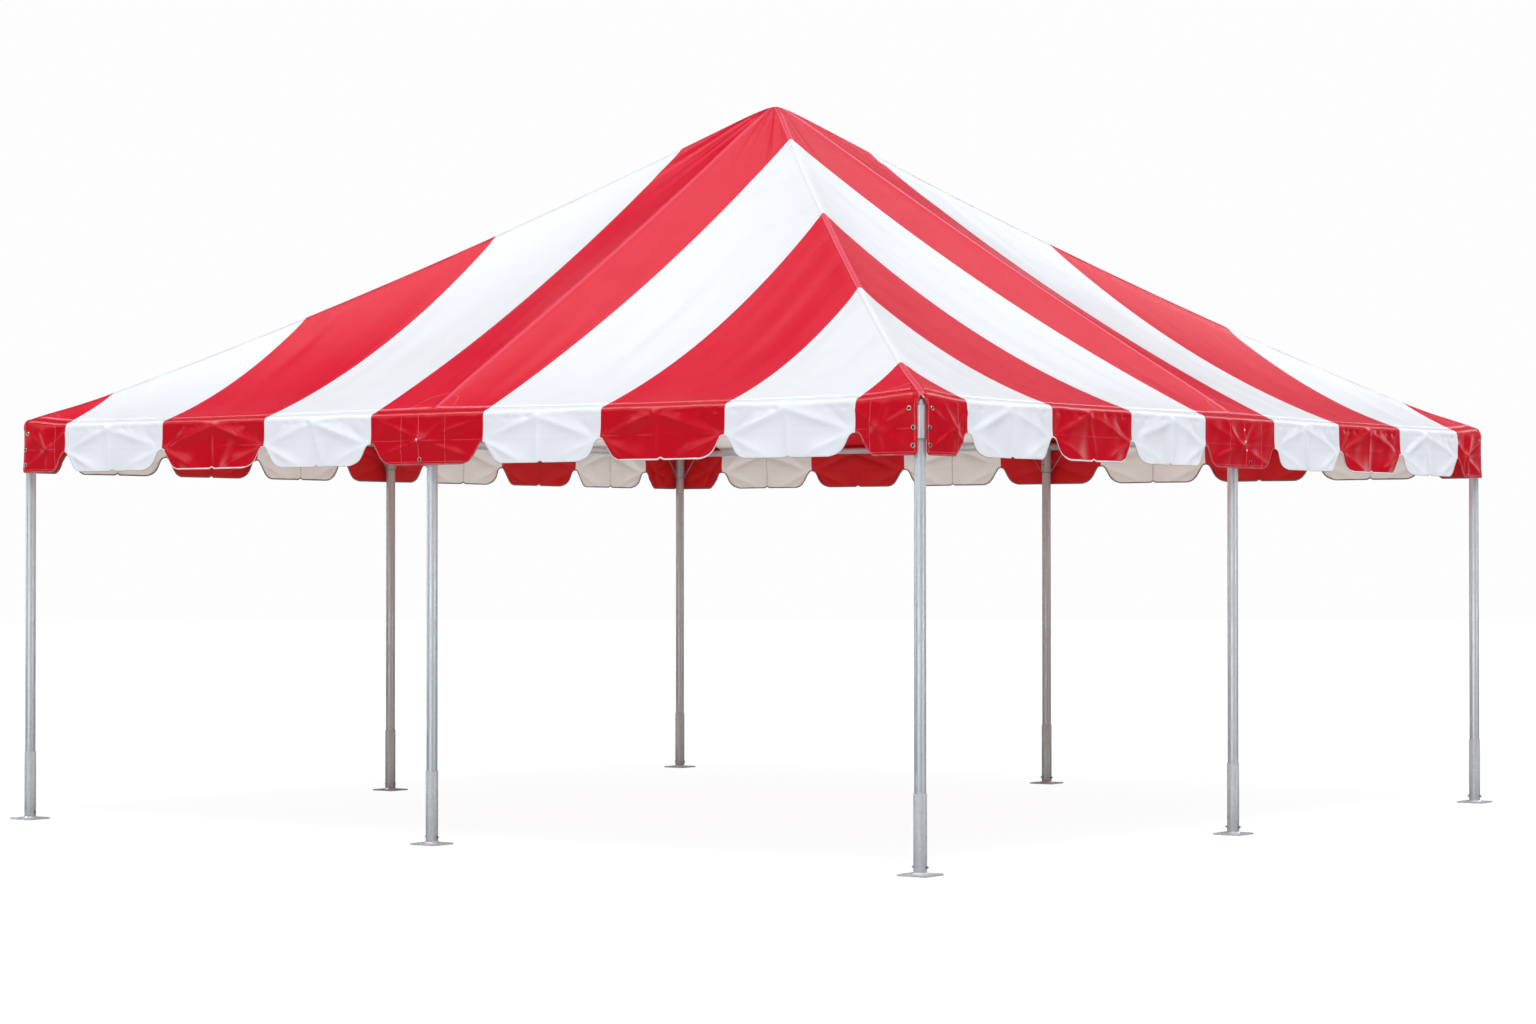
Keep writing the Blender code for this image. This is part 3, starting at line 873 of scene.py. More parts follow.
def valanceFolds(along, drop, turn):
    # how far the cloth stands out from its plain face
    setup = creaseSet
    random = np.random.default_rng(setup["seed"] + turn)
    total = np.zeros_like(along)
    width = tent["panel"]
    for panel in range(-4, 5):
        middle = panel * width
        near = np.abs(along - middle) < width
        if panel == 0:
            knot = random.uniform(-0.03, 0.03)
            for spot in setup["middleEnds"]:
                wobble = random.uniform(-0.03, 0.03, 2) * (1, 0.4)
                size = setup["legHeight"] * random.uniform(0.5, 1.1)
                fold = crease(along, drop, (knot, setup["middleKnotDrop"]),
                              (spot[0] + wobble[0], spot[1] + wobble[1]), size,
                              random.uniform(0.014, 0.024))
                total += np.where(near, fold, 0)
        elif abs(panel) == 4:
            way = 1 if panel > 0 else -1
            knot = way * (setup["cornerKnot"][0] + random.uniform(-0.02, 0.02))
            for spot in setup["cornerEnds"]:
                wobble = random.uniform(-0.015, 0.015)
                size = setup["legHeight"] * random.uniform(0.5, 1.15)
                fold = crease(along, drop, (knot, setup["cornerKnot"][1]),
                              (way * (spot[0] + wobble), spot[1]), size, random.uniform(0.012, 0.02))
                total += np.where(near, fold, 0)
        else:
            top = middle + random.uniform(-0.05, 0.05)
            rise = setup["freeHeight"] * (setup["rightShare"] if turn == 1 else 1)
            folds = []
            for way in (-1, 1):
                cusp = middle + way * setup["cusp"][0]
                deep = setup["cusp"][1]
                end = (cusp, deep - 0.005 + random.uniform(-0.02, 0.01))
                folds.append(((top, 0.015), end, rise, 0.022))
                folds.append(((cusp, deep), (middle + way * 0.12, 0.235), 0.75 * rise, 0.018))
                end = (middle + way * random.uniform(0.18, 0.27), 0.03)
                folds.append(((cusp, deep - 0.010), end, -0.55 * rise, 0.02))
                end = (middle + way * random.uniform(0.24, 0.29), 0.24)
                folds.append(((cusp, deep + 0.002), end, 0.55 * rise, 0.012))
            folds.append(((top, 0.03), (middle + random.uniform(-0.06, 0.06), 0.235), 0.4 * rise, 0.016))
            for start, end, height, wide in folds:
                size = height * random.uniform(0.65, 1.1)
                total += np.where(near, crease(along, drop, start, end, size, wide), 0)
            inside = np.clip(1 - np.abs(along - middle) / (width / 2), 0, 1)
            belly = np.sin(math.pi / 2 * inside) ** 1.5 * np.clip(drop / 0.25, 0, 1.1) ** 1.4
            total += setup["bulge"] * random.uniform(0.7, 1.2) * belly
            lobes = np.sin(math.pi * inside) ** 2 * np.clip(drop / 0.25, 0, 1.1) ** 2.2
            lean = np.where(along < middle, random.uniform(0.6, 1.1), random.uniform(0.6, 1.1))
            total += np.where(np.abs(along - middle) < width / 2, setup["flare"] * lobes * lean, 0)
            for spot in np.arange(-0.32, 0.33, 0.08):
                centre = middle + spot + random.uniform(-0.02, 0.02)
                deep = setup["pucker"] * random.uniform(0.3, 1.2)
                low = 0.012 + random.uniform(-0.003, 0.006)
                dent = np.exp(-(((along - centre) / 0.022) ** 2) - ((drop - low) / 0.012) ** 2)
                total -= np.where(near, deep * dent, 0)
    level = tent["shoulderMiddle"] - vinylFinish["storageFold"]
    total += setup["storage"] * np.exp(-np.abs(drop - level - 0.002 * np.sin(9 * along)) / 0.006)
    height, lengths = setup["ripple"]
    for length in lengths:
        phase = random.uniform(0, 2 * math.pi)
        total += height * np.cos(2 * math.pi * (along + 0.4 * drop) / length + phase)
    return total


def bandBase(setup, turn):
    # rows run from the roof down, columns along the eave
    bend = tent["shoulderRadius"] - setup["underlap"]
    end = tent["clothReach"] - setup["cornerSlit"]
    share = np.linspace(-1, 1, setup["columns"] + 1)
    rows = []

    def addRow(along, out, z):
        rows.append((along, np.full_like(along, out), z))

    for i in range(setup["roofRows"]):
        out = setup["start"] + (shoulderReach - setup["start"]) * i / setup["roofRows"]
        along = share * out
        addRow(along, out, onRoof(along, out, turn, -setup["underlap"])[:, 2])
    for i in range(setup["bendRows"]):
        angle = math.pi / 2 * i / setup["bendRows"]
        out = shoulderReach + bend * math.sin(angle)
        z = tent["shoulderMiddle"] + bend * math.cos(angle)
        limit = out
        if z < setup["slitTop"]:
            fall = min(1.0, (setup["slitTop"] - z) / setup["cornerSlit"])
            limit = out - setup["cornerSlit"] * math.sqrt(1 - (1 - fall) ** 2)
        along = share * min(limit, out)
        addRow(along, out, z + cornerLift(along, out) * math.cos(angle))
    along = share * end
    foot = bottomEdge(along)
    for i in range(setup["hangRows"] + 1):
        part = i / setup["hangRows"]
        z = tent["shoulderMiddle"] + (foot - tent["shoulderMiddle"]) * part
        addRow(along, tent["clothReach"] - setup["underlap"], z)
    grid = np.array(rows)
    for _ in range(2):  # ease the bends
        middle = grid[1:-1, 1:]
        upper = setup["roofRows"] + setup["bendRows"]
        eased = (grid[:-2, 1:] + 2 * middle + grid[2:, 1:]) / 4
        grid[1:upper, 1:] = eased[: upper - 1]
    return grid


def bandPoints(setup, turn):
    grid = bandBase(setup, turn)
    along, out, z = grid[:, 0], grid[:, 1], grid[:, 2]
    drop = tent["shoulderMiddle"] - z
    hang = np.clip((tent["shoulderMiddle"] + setup["foldStart"] - z) / setup["foldRun"], 0, 1)
    lift = valanceFolds(along, drop, turn) * hang
    toEnd = np.clip((out - np.abs(along)) / setup["endRest"], 0, 1)
    hem = np.clip((bottomEdge(along) + setup["hemHeight"] - z) / 0.003, 0, 1) * isLegPanel(along)
    lift = np.clip(lift, *setup["liftLimits"]) * toEnd + hem * setup["hemRise"]
    tilt = np.clip((z - tent["shoulderMiddle"]) / tent["shoulderRadius"], 0, 1)
    out = out + lift * (1 - tilt)
    z = z + lift * tilt
    return roundCorners(worldPlaces(along, out, z, turn))


def makeValance(setup, turn):
    side = sides[turn]
    points = bandPoints(setup, turn)
    # the valance's inner face and cut edge take the inner vinyl, painted darker as painted shade
    band = sweptSheet(f"canopy_valance_{side}", points, setup["thickness"],
                      (vinyl["valance"], vinyl["inner"], vinyl["inner"]))
    return finishPiece(band, "striped_vinyl", f"valance_{side}"), points


valances = {}
valancePoints = {}
for turn, side in enumerate(sides):
    valances[side], valancePoints[side] = makeValance(valanceShape, turn)
    print("valance hung:", side)


# narrow sheets that follow the canopy: hip strips, the strips down the middles, and the binding

def paintColumns(sheet, columns, second, third=()):
    # which columns of the sheet's faces have its second and its third finish
    column = np.arange(len(sheet.data.polygons)) % columns
    index = np.isin(column, second) + 2 * np.isin(column, third)
    sheet.data.polygons.foreach_set("material_index", index.astype(np.int32))


def dressStrip(strip, columns, setup):
    # the welded edges are painted paler than the strip as a painted highlight, and a painted shadow runs
    # beside them
    paint(strip, vinyl["strip"], vinyl["paintedEdgeHighlight"], vinyl["paintedStripShade"])
    paintColumns(strip, columns, setup["highlightColumns"], setup["shadeColumns"])
    return finishPiece(strip, "striped_vinyl")


hipStrip = {
    "highlightColumns": (1, 8),
    "shadeColumns": (0, 9),
    "halfWidth": 0.0165,
    "height": 0.0006,
    "sink": -0.0004,  # the outer edges lie just under the cloth's face
    "rib": 0.0002,  # the welded edges stand a little higher
    "ribPlace": (0.63, 0.83),  # as a share of the half width
    "start": 0.035,
    "stations": 170,
    "bendRows": 6,
    "bendAngles": (0.15, 0.8),  # how far it goes round the shoulder, in radians
    "offsets": (-1.0, -0.80, -0.66, -0.60, -0.3, 0.0, 0.3, 0.60, 0.66, 0.80, 1.0),
}


def makeHipStrip(setup, turn):
    # runs over the hip, round the shoulder and ends above the slit in the corner
    rows = []
    distances = np.linspace(setup["start"], shoulderReach - 0.003, setup["stations"])
    shares = np.array(setup["offsets"])
    lifts = np.where(np.abs(shares) == 1, setup["sink"], setup["height"])
    low, high = setup["ribPlace"]
    lifts = lifts + np.where((np.abs(shares) > low) & (np.abs(shares) < high), setup["rib"], 0)
    for distance in distances:
        offset = shares * setup["halfWidth"] / math.sqrt(2)
        x = distance + offset
        y = -(distance - offset)
        rows.append(np.stack([x, y, roofSurface(x, y) + lifts], -1))
    radius = tent["shoulderRadius"]
    for angle in np.linspace(*setup["bendAngles"], setup["bendRows"]):
        # it sinks into the cloth at its end
        level = lifts * (1 - angle / setup["bendAngles"][1]) - 0.0006 * angle
        out = shoulderReach + (radius + level) * math.sin(angle)
        z = tent["shoulderMiddle"] + (radius + level + cornerLift(out, out)) * math.cos(angle)
        offset = np.abs(shares) * setup["halfWidth"] * math.sqrt(2) * (1 - 0.3 * angle)
        x = np.where(shares < 0, out - offset, out)
        y = -np.where(shares > 0, out - offset, out)
        rows.append(np.stack([x, y, z], -1))
    rows = roundCorners(np.array(rows))
    turned = worldPlaces(rows[..., 0], -rows[..., 1], rows[..., 2], turn)
    strip = sweptSheet(f"canopy_hip_strip_{endCorners[turn]}", turned)
    tones = setup if turn else {**setup, "shadeColumns": ()}  # the near hip lies in full light
    return dressStrip(strip, len(shares) - 1, tones)


middleStrip = {
    "highlightColumns": ((), (1, 2), (4,), (4,)),  # of the front, right, back and left strip
    "shadeColumns": ((0, 1), (), (0,), (0,)),
    "halfWidth": 0.022,
    "height": 0.0012,
    "sink": -0.0004,
    "start": 0.06,
    "stations": 150,
    "offsets": (-1.0, -0.35, -0.1, 0.3, 0.50, 0.82, 1.0),
}


def makeMiddleStrip(setup, turn):
    rows = []
    shares = np.array(setup["offsets"])
    lifts = np.where(np.abs(shares) == 1, setup["sink"], setup["height"])
    for distance in np.linspace(setup["start"], roofShape["lap"] - 0.001, setup["stations"]):
        rows.append(onRoof(shares * setup["halfWidth"], distance, turn, lifts))
    strip = sweptSheet(f"canopy_middle_strip_{sides[turn]}", rows)
    tones = {"highlightColumns": setup["highlightColumns"][turn], "shadeColumns": setup["shadeColumns"][turn]}
    return dressStrip(strip, len(shares) - 1, tones)


hipStrips = [makeHipStrip(hipStrip, turn) for turn in range(4)]
middleStrips = [makeMiddleStrip(middleStrip, turn) for turn in range(4)]
print("strips welded on")


def panelMask(tree, stripes):
    # 1 on the red panels that have a leg behind them
    along = stripes.outputs["Along"]
    middle = rangeNode(tree, along, tent["panel"] / 2 + 0.002, tent["panel"] / 2 - 0.002)
    corner = rangeNode(tree, along, tent["panel"] * 3.5 - 0.002, tent["panel"] * 3.5 + 0.002)
    return mathNode(tree, "MAXIMUM", middle, corner)


def bindingMaterial():
    material, tree, shader = startMaterial("whiteBinding")
    place = newNode(tree, "ShaderNodeTexCoord").outputs["Object"]
    stripes = placeGroup(tree, stripePattern, place, Width=tent["panel"])
    colour = mixColour(tree, panelMask(tree, stripes), (0.80, 0.78, 0.79), (0.52, 0.05, 0.07))
    worn = rangeNode(tree, noiseNode(tree, place, 35.0, 3.0), 0.35, 0.7, 0.0, 0.22)
    join(tree, mixColour(tree, worn, colour, (0.45, 0.42, 0.41)), shader.inputs["Base Color"])
    shader.inputs["Roughness"].default_value = 0.6
    shader.inputs["Specular IOR Level"].default_value = 0.25
    return material


whiteBinding = bindingMaterial()
# the binding's inner half is painted dark grey: painted shade on the side turned into the tent
shadedInnerBinding = plainMaterial("shadedInnerBinding", (0.16, 0.145, 0.14), 0.7)

bindingShape = {"halfHeight": 0.0045, "halfThickness": 0.0019, "rise": 0.0026, "sides": 8,
                "paintedShadeFaces": (3, 4, 5, 6, 7)}


def makeBinding(setup, turn):
    side = sides[turn]
    path = valancePoints[side][-1][2:-2]
    outward = worldWay(turn)
    ahead = np.gradient(path, axis=0)
    ahead /= np.linalg.norm(ahead, axis=1)[:, None]
    upward = np.cross(ahead, outward)
    upward *= np.sign(upward[:, 2:3])
    rows = []
    angles = np.linspace(0, 2 * math.pi, setup["sides"] + 1)
    for spot, up in zip(path, upward):
        middle = spot + up * setup["rise"] - outward * valanceShape["thickness"] / 2
        rows.append([middle + up * setup["halfHeight"] * math.cos(a)
                     + outward * setup["halfThickness"] * math.sin(a) for a in angles])
    binding = sweptSheet(f"canopy_binding_{side}", rows)
    paint(binding, whiteBinding, shadedInnerBinding)
    paintColumns(binding, setup["sides"], setup["paintedShadeFaces"])
    return finishPiece(binding, "striped_vinyl")


bindings = [makeBinding(bindingShape, turn) for turn in range(4)]
print("scallops bound")


# stitches along the hems and round the patches

def valanceSpot(turn, along, height):
    # a point of the valance's outer face
    grid = valancePoints[sides[turn]]
    end = tent["clothReach"] - valanceShape["cornerSlit"]
    column = np.clip((along / end + 1) / 2 * valanceShape["columns"], 0, valanceShape["columns"] - 1e-6)
    first = int(column)
    share = column - first
    strip = grid[valanceShape["roofRows"]:, first] * (1 - share)
    strip = (strip + grid[valanceShape["roofRows"]:, first + 1] * share)[::-1]
    return np.array([np.interp(height, strip[:, 2], strip[:, k]) for k in range(3)])


def stitchLine(points, normals, pitch, length, radius):
    # small stitches along a line that lies on the cloth
    points = np.array(points)
    steps = np.linalg.norm(np.diff(points, axis=0), axis=1)
    run = np.concatenate([[0], np.cumsum(steps)])
    verts, faces = [], []
    for at in np.arange(pitch / 2, run[-1], pitch):
        ends = [np.array([np.interp(at + k * length / 2, run, points[:, i]) for i in range(3)])
                for k in (-1, 1)]
        normal = np.array([np.interp(at, run, np.array(normals)[:, i]) for i in range(3)])
        across = np.cross(ends[1] - ends[0], normal)
        across *= radius / max(np.linalg.norm(across), 1e-9)
        middle = (ends[0] + ends[1]) / 2
        base = len(verts)
        verts += [ends[0], ends[1], middle + across, middle - across, middle + normal * radius * 1.6]
        faces += [(base, base + 2, base + 4), (base + 2, base + 1, base + 4),
                  (base + 1, base + 3, base + 4), (base + 3, base, base + 4)]
    return verts, faces


stitching = {
    "pitch": 0.009,
    "length": 0.0065,
    "radius": 0.0011,
    "hemRise": 0.015,  # above the straight hems
    "lineTop": 2.248,
    "patchHalf": (0.152, 0.18, 0.18, 0.18),  # half the width of the patches over the middle legs
    "patchShift": (-0.022, 0.055, 0.04, 0.03),
    "patchTop": 0.15,
    "cornerPatch": (0.016, 0.27),  # from the end of the flap
    "cornerArc": ((2.845, 3.046), (2.853, 3.020), (2.875, 2.995), (2.905, 2.980), (2.945, 2.972),
                  (2.962, 2.970)),
}


def valanceLine(turn, start, end, count=24):
    points = []
    for share in np.linspace(0, 1, count):
        along = start[0] + (end[0] - start[0]) * share
        points.append(valanceSpot(turn, along, start[1] + (end[1] - start[1]) * share))
    return points, [worldWay(turn)] * count


def roofLine(turn, places):
    # places are (along, out) on one slope
    along = np.array([place[0] for place in places])
    out = np.array([place[1] for place in places])
    return onRoof(along, out, turn, 0.0002), [worldWay(turn, 0.5, 0.85)] * len(places)


def patchOutline(setup, turn):
    # the stitched top of the patch over a middle leg: two sloping edges and a low arch
    wide, tall = setup["patchHalf"][turn], setup["patchTop"]
    eave = roofShape["lap"]
    shift = setup["patchShift"][turn]
    line = [(shift - wide, eave)]
    for share in np.linspace(0, 1, 13):
        along = shift - 0.66 * wide + 1.32 * wide * share
        line.append((along, eave - tall * (0.78 + 0.22 * math.sin(math.pi * share))))
    line.append((shift + wide, eave))
    return line


def makeStitches(setup, turn):
    lines = []
    end = tent["clothReach"] - valanceShape["cornerSlit"]
    half = tent["panel"] / 2
    wide = setup["patchHalf"][turn]
    shift = setup["patchShift"][turn]
    rise = tent["valanceBottom"] + setup["hemRise"]
    lines.append(valanceLine(turn, (-half + 0.13, rise), (half - 0.13, rise), 60))
    for way in (-1, 1):
        at = way * wide + shift
        lines.append(valanceLine(turn, (at, rise), (at, setup["lineTop"])))
        lines.append(valanceLine(turn, (way * (end - 0.006), rise), (way * (end - 0.30), rise), 40))
        for inset in setup["cornerPatch"]:
            at = way * (end - inset)
            lines.append(valanceLine(turn, (at, rise), (at, setup["lineTop"] - 0.002)))
    lines.append(roofLine(turn, patchOutline(setup, turn)))
    for way in (-1, 1):
        lines.append(roofLine(turn, [(way * along, out) for along, out in setup["cornerArc"]]))
    verts, faces = [], []
    for points, normals in lines:
        more, shapes = stitchLine(points, normals, setup["pitch"], setup["length"], setup["radius"])
        faces += [tuple(k + len(verts) for k in shape) for shape in shapes]
        verts += more
    mesh = bpy.data.meshes.new("stitches")
    mesh.from_pydata([tuple(v) for v in verts], [], faces)
    piece = linkObject(f"canopy_stitches_{sides[turn]}", mesh)
    return finishPiece(paint(piece, stitchThread), "striped_vinyl")


stitchThread = plainMaterial("stitchThread", (0.82, 0.38, 0.44), 0.6)
stitches = [makeStitches(stitching, turn) for turn in range(4)]
print("stitches sewn")


# raised seams: a straight or wavy one down each middle panel with its lace ends, and the bound
# tops of the slits

seamShape = {
    "halfWidth": 0.0032,
    "rise": 0.0012,
    "straight": ((-0.056, 2.246), (-0.054, 2.180), (-0.046, 2.120), (-0.052, 2.050), (-0.050, 1.984)),
    "wavy": ((0.020, 2.246), (0.052, 2.200), (0.030, 2.150), (0.062, 2.085), (0.070, 2.030),
             (0.060, 1.984)),
    "laceHeights": {"straight": (2.108,), "wavy": (2.182, 2.118, 2.072)},
    "laceSize": 0.011,
    "laceThickness": 0.0025,
    "laceShift": -0.004,
    "laceRise": 0.0015,
    "archLow": 2.212,  # the binding of a slit's top starts here
    "archHalf": 0.003,
    "archRise": 0.0022,
}


def tapeRows(points, outward, half, rise):
    points = np.array(points)
    ahead = np.gradient(points, axis=0)
    across = np.cross(ahead, outward)
    across /= np.linalg.norm(across, axis=1)[:, None]
    shares = ((-1.0, 0.0), (-0.5, 1.0), (0.5, 1.0), (1.0, 0.0))
    return np.stack([points + across * half * share + outward * (rise * high) for share, high in shares], 1)


def makeSeams(setup, turn):
    side = sides[turn]
    outward = worldWay(turn)
    kind = "straight" if side in ("front", "back") else "wavy"
    knots = np.array(setup[kind])[::-1]
    heights = np.linspace(knots[0, 1], knots[-1, 1], 40)
    places = np.interp(heights, knots[:, 1], knots[:, 0])
    places = np.convolve(np.pad(places, 3, "edge"), np.ones(7) / 7, "valid")
    line = [valanceSpot(turn, along, height) for along, height in zip(places, heights)]
    parts = [sweptSheet("seam", tapeRows(line, outward, setup["halfWidth"], setup["rise"]))]
    grid = valancePoints[side]
    for column in (0, -1):
        edge = grid[:, column]
        edge = edge[edge[:, 2] > setup["archLow"]]
        edge = edge[valanceShape["roofRows"] + 1:]
        parts.append(sweptSheet("arch", tapeRows(edge, outward, setup["archHalf"], setup["archRise"])))
    for part in parts:
        paint(part, seamVinyl)
    for height in setup["laceHeights"][kind]:
        along = float(np.interp(height, heights, places)) + setup["laceShift"]
        spot = valanceSpot(turn, along, height) + outward * setup["laceRise"]
        deselectAll()
        bpy.ops.mesh.primitive_cube_add(size=1, location=tuple(spot))
        wide, deep = setup["laceSize"], setup["laceThickness"]
        lace = resizeMesh(*((wide, deep, wide) if turn % 2 == 0 else (deep, wide, wide)))
        applyModifier(lace, "BEVEL", width=0.001, segments=2)
        parts.append(paint(lace, paleLace))
    return finishPiece(settle(joinPieces(f"canopy_seams_{side}", parts)), "striped_vinyl")


seamVinyl = plainMaterial("seamVinyl", (0.70, 0.045, 0.080), 0.35)
paleLace = plainMaterial("paleLace", (0.80, 0.76, 0.74), 0.6)
seams = [makeSeams(seamShape, turn) for turn in range(4)]
print("seams welded")


# galvanised steel

steelFinish = {
    "tube": {"light": (0.74, 0.77, 0.80), "dark": (0.56, 0.59, 0.62), "roughness": 0.36, "metallic": 0.5},
    "fitting": {"light": (0.80, 0.82, 0.84), "dark": (0.60, 0.62, 0.64), "roughness": 0.42, "metallic": 0.5},
    "foot": {"light": (0.68, 0.70, 0.72), "dark": (0.44, 0.45, 0.46), "roughness": 0.50, "metallic": 0.45},
    # the three below are darker, browner copies for the steel under the far side of the canopy: painted shade
    "shadedTube": {"light": (0.56, 0.54, 0.52), "dark": (0.38, 0.36, 0.34), "roughness": 0.42, "metallic": 0.5},
    "shadedFitting": {"light": (0.50, 0.47, 0.44), "dark": (0.33, 0.30, 0.27), "roughness": 0.5,
                   "metallic": 0.5},
    "shadedFoot": {"light": (0.48, 0.47, 0.45), "dark": (0.30, 0.29, 0.27), "roughness": 0.52, "metallic": 0.45},
}


def spangleGroup():
    # crystals of zinc, runs down the tube and dull patches
    group, given, result = newGroup(
        "zincSpangle", [("Vector", "NodeSocketVector")],
        [("Shade", "NodeSocketFloat"), ("Dull", "NodeSocketFloat"), ("Height", "NodeSocketFloat")])
    place = given.outputs["Vector"]
    cells = newNode(group, "ShaderNodeTexVoronoi")
    join(group, place, cells.inputs["Vector"])
    cells.inputs["Scale"].default_value = 90.0
    tint = splitVector(group, cells.outputs["Color"])[0]
    x, y, z = splitVector(group, place)
    flow = joinVector(group, times(group, x, 60.0), times(group, y, 60.0), times(group, z, 1.6))
    runs = noiseNode(group, flow, 1.0, 3.0, 0.6)
    patches = noiseNode(group, place, 7.0, 4.0, 0.65)
    streaks = rangeNode(group, runs, 0.3, 0.7)
    shade = plus(group, times(group, tint, 0.30), times(group, streaks, 0.42), times(group, patches, 0.35))
    join(group, shade, result.inputs["Shade"])
    join(group, rangeNode(group, patches, 0.4, 0.7), result.inputs["Dull"])
    join(group, plus(group, runs, times(group, tint, 0.4)), result.inputs["Height"])
    return group


zincSpangle = spangleGroup()


def steelMaterial(name, finish):
    material, tree, shader = startMaterial(name)
    place = newNode(tree, "ShaderNodeTexCoord").outputs["Object"]
    zinc = placeGroup(tree, zincSpangle, place)
    join(tree, mixColour(tree, zinc.outputs["Shade"], finish["dark"], finish["light"]),
         shader.inputs["Base Color"])
    join(tree, rangeNode(tree, zinc.outputs["Dull"], 0.0, 1.0, finish["roughness"] - 0.06,
                         finish["roughness"] + 0.12), shader.inputs["Roughness"])
    shader.inputs["Metallic"].default_value = finish["metallic"]
    addBump(tree, shader, zinc.outputs["Height"], 0.0003, 0.5)
    return material


tubeSteel = steelMaterial("galvanisedTube", steelFinish["tube"])
fittingSteel = steelMaterial("galvanisedFitting", steelFinish["fitting"])
footSteel = steelMaterial("weatheredFoot", steelFinish["foot"])
# copies painted darker and browner for the legs in the canopy's shade: painted shade
shadedTubeSteel = steelMaterial("shadedGalvanisedTube", steelFinish["shadedTube"])
shadedFootSteel = steelMaterial("shadedWeatheredFoot", steelFinish["shadedFoot"])
shadedFittingSteel = steelMaterial("shadedGalvanisedFitting", steelFinish["shadedFitting"])
zincBolt = plainMaterial("zincBolt", (0.42, 0.38, 0.33), 0.42, 0.9)
# painted near black for the grommet holes: painted shade where a hole looks into the tent
paintedHoleShade = plainMaterial("paintedHoleShade", (0.012, 0.012, 0.013), 0.8)
brassGrommet = plainMaterial("grommetMetal", (0.62, 0.56, 0.50), 0.32, 1.0)


# legs and feet: one modelled, then copied to all eight places

legPlaces = {}
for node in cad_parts:
    if node.startswith("leg_"):
        low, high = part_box(node)
        legPlaces[node[4:]] = ((low.x + high.x) / 2, (low.y + high.y) / 2)

shadedFarLegs = ("left_middle", "back_left", "back_middle")  # painted shade: these legs stand under the far side of the canopy, so their steel is painted browner and darker

legShape = {
    "radius": 0.0286,
    "wall": 0.002,
    "bottom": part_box("leg_front_right")[0].z,
    "top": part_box("leg_front_right")[1].z,
    "sides": 48,
}
footShape = {
    "plate": 0.165,
    "thickness": 0.008,
    "cornerRounding": 0.011,
    "edgeRounding": 0.0012,
    "sleeveRadius": 0.0325,
    "sleeveTop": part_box("foot_front_right")[1].z,
    "weldWidth": 0.009,
    "sleeveGap": 0.0004,
    "boltHeight": 0.040,
    "boltReach": 0.046,
    "studRadius": 0.0033,
    "headRadius": 0.0077,
    "headLength": 0.006,
}


def modelLeg(setup):
    middle = (setup["bottom"] + setup["top"]) / 2
    tube = addCylinder((0, 0, middle), setup["radius"], setup["top"] - setup["bottom"],
                       sides=setup["sides"], ends="NOTHING")
    hollow(tube, setup["wall"])
    return settle(paint(tube, tubeSteel))


def modelFoot(setup):
    deselectAll()
    thick = setup["thickness"]
    bpy.ops.mesh.primitive_cube_add(size=1, location=(0, 0, thick / 2))
    plate = resizeMesh(setup["plate"], setup["plate"], thick)
    bpy.ops.object.mode_set(mode="EDIT")
    bpy.ops.mesh.select_all(action="DESELECT")
    bpy.ops.mesh.select_mode(type="EDGE")
    shape = bmesh.from_edit_mesh(plate.data)
    for edge in shape.edges:
        edge.select = abs(edge.verts[0].co.z - edge.verts[1].co.z) > thick / 2
    bmesh.update_edit_mesh(plate.data)
    bpy.ops.mesh.bevel(offset=setup["cornerRounding"], segments=5, affect="EDGES")
    bpy.ops.object.mode_set(mode="OBJECT")
    applyModifier(plate, "BEVEL", width=setup["edgeRounding"], segments=2, limit_method="ANGLE")
    tall = setup["sleeveTop"] - thick
    sleeve = addCylinder((0, 0, thick + tall / 2), setup["sleeveRadius"], tall, ends="NOTHING")
    hollow(sleeve, setup["sleeveRadius"] - legShape["radius"] - setup["sleeveGap"])
    deselectAll()
    wide = setup["sleeveRadius"] + setup["weldWidth"]
    bpy.ops.mesh.primitive_cone_add(vertices=48, radius1=wide, radius2=setup["sleeveRadius"] - 0.001,
                                    depth=setup["weldWidth"],
                                    location=(0, 0, thick + setup["weldWidth"] / 2))
    weld = bpy.context.object
    for piece in (plate, sleeve, weld):
        paint(piece, footSteel)
    bolts = []
    high = setup["boltHeight"]
    for way in (-1, 1):
        start = (way * (setup["sleeveRadius"] - 0.002), 0, high)
        stud = addRod(start, (way * setup["boltReach"], 0, high), setup["studRadius"])
        head = addCylinder((way * (setup["sleeveRadius"] + setup["headLength"] / 2), 0, high),
                           setup["headRadius"], setup["headLength"], (1, 0, 0), 6)
        bolts += [paint(stud, zincBolt), paint(head, zincBolt)]
    return settle(joinPieces("foot", [plate, sleeve, weld] + bolts))


firstLeg = modelLeg(legShape)
firstFoot = modelFoot(footShape)
for name, (x, y) in legPlaces.items():
    leg = copyTo(firstLeg, f"tube_leg_{name}", (x, y, 0))
    foot = copyTo(firstFoot, f"base_foot_{name}", (x, y, 0))
    # legs under the far side of the canopy take the copies painted darker as painted shade
    if name in shadedFarLegs:
        leg.data.materials[0] = shadedTubeSteel
        foot.data.materials[0] = shadedFootSteel
    finishPiece(leg, "tube_steel", f"leg_{name}")
    finishPiece(foot, "foot_steel", f"foot_{name}")
bpy.data.objects.remove(firstLeg)
bpy.data.objects.remove(firstFoot)
print("legs and feet stood up")


# pipes of the roof frame

pipeShape = {
    "radius": 0.0211,
    "wall": 0.002,
    "eaveStart": 0.065,  # from a leg's axis to the end of an eave pipe
    "rafterStart": 0.090,
    "crownStart": 0.090,
    "straight": 0.30,
    "drop": 0.037,  # from the cloth down to a rafter's axis
    "steps": 10,
}


def rafterPoint(distance, diagonal):
    out = distance / math.sqrt(2) if diagonal else distance
    height = float(slopeHeight(np.array(out), np.array(out if diagonal else 0.0)))
    return Vector((distance, 0, height - pipeShape["drop"]))


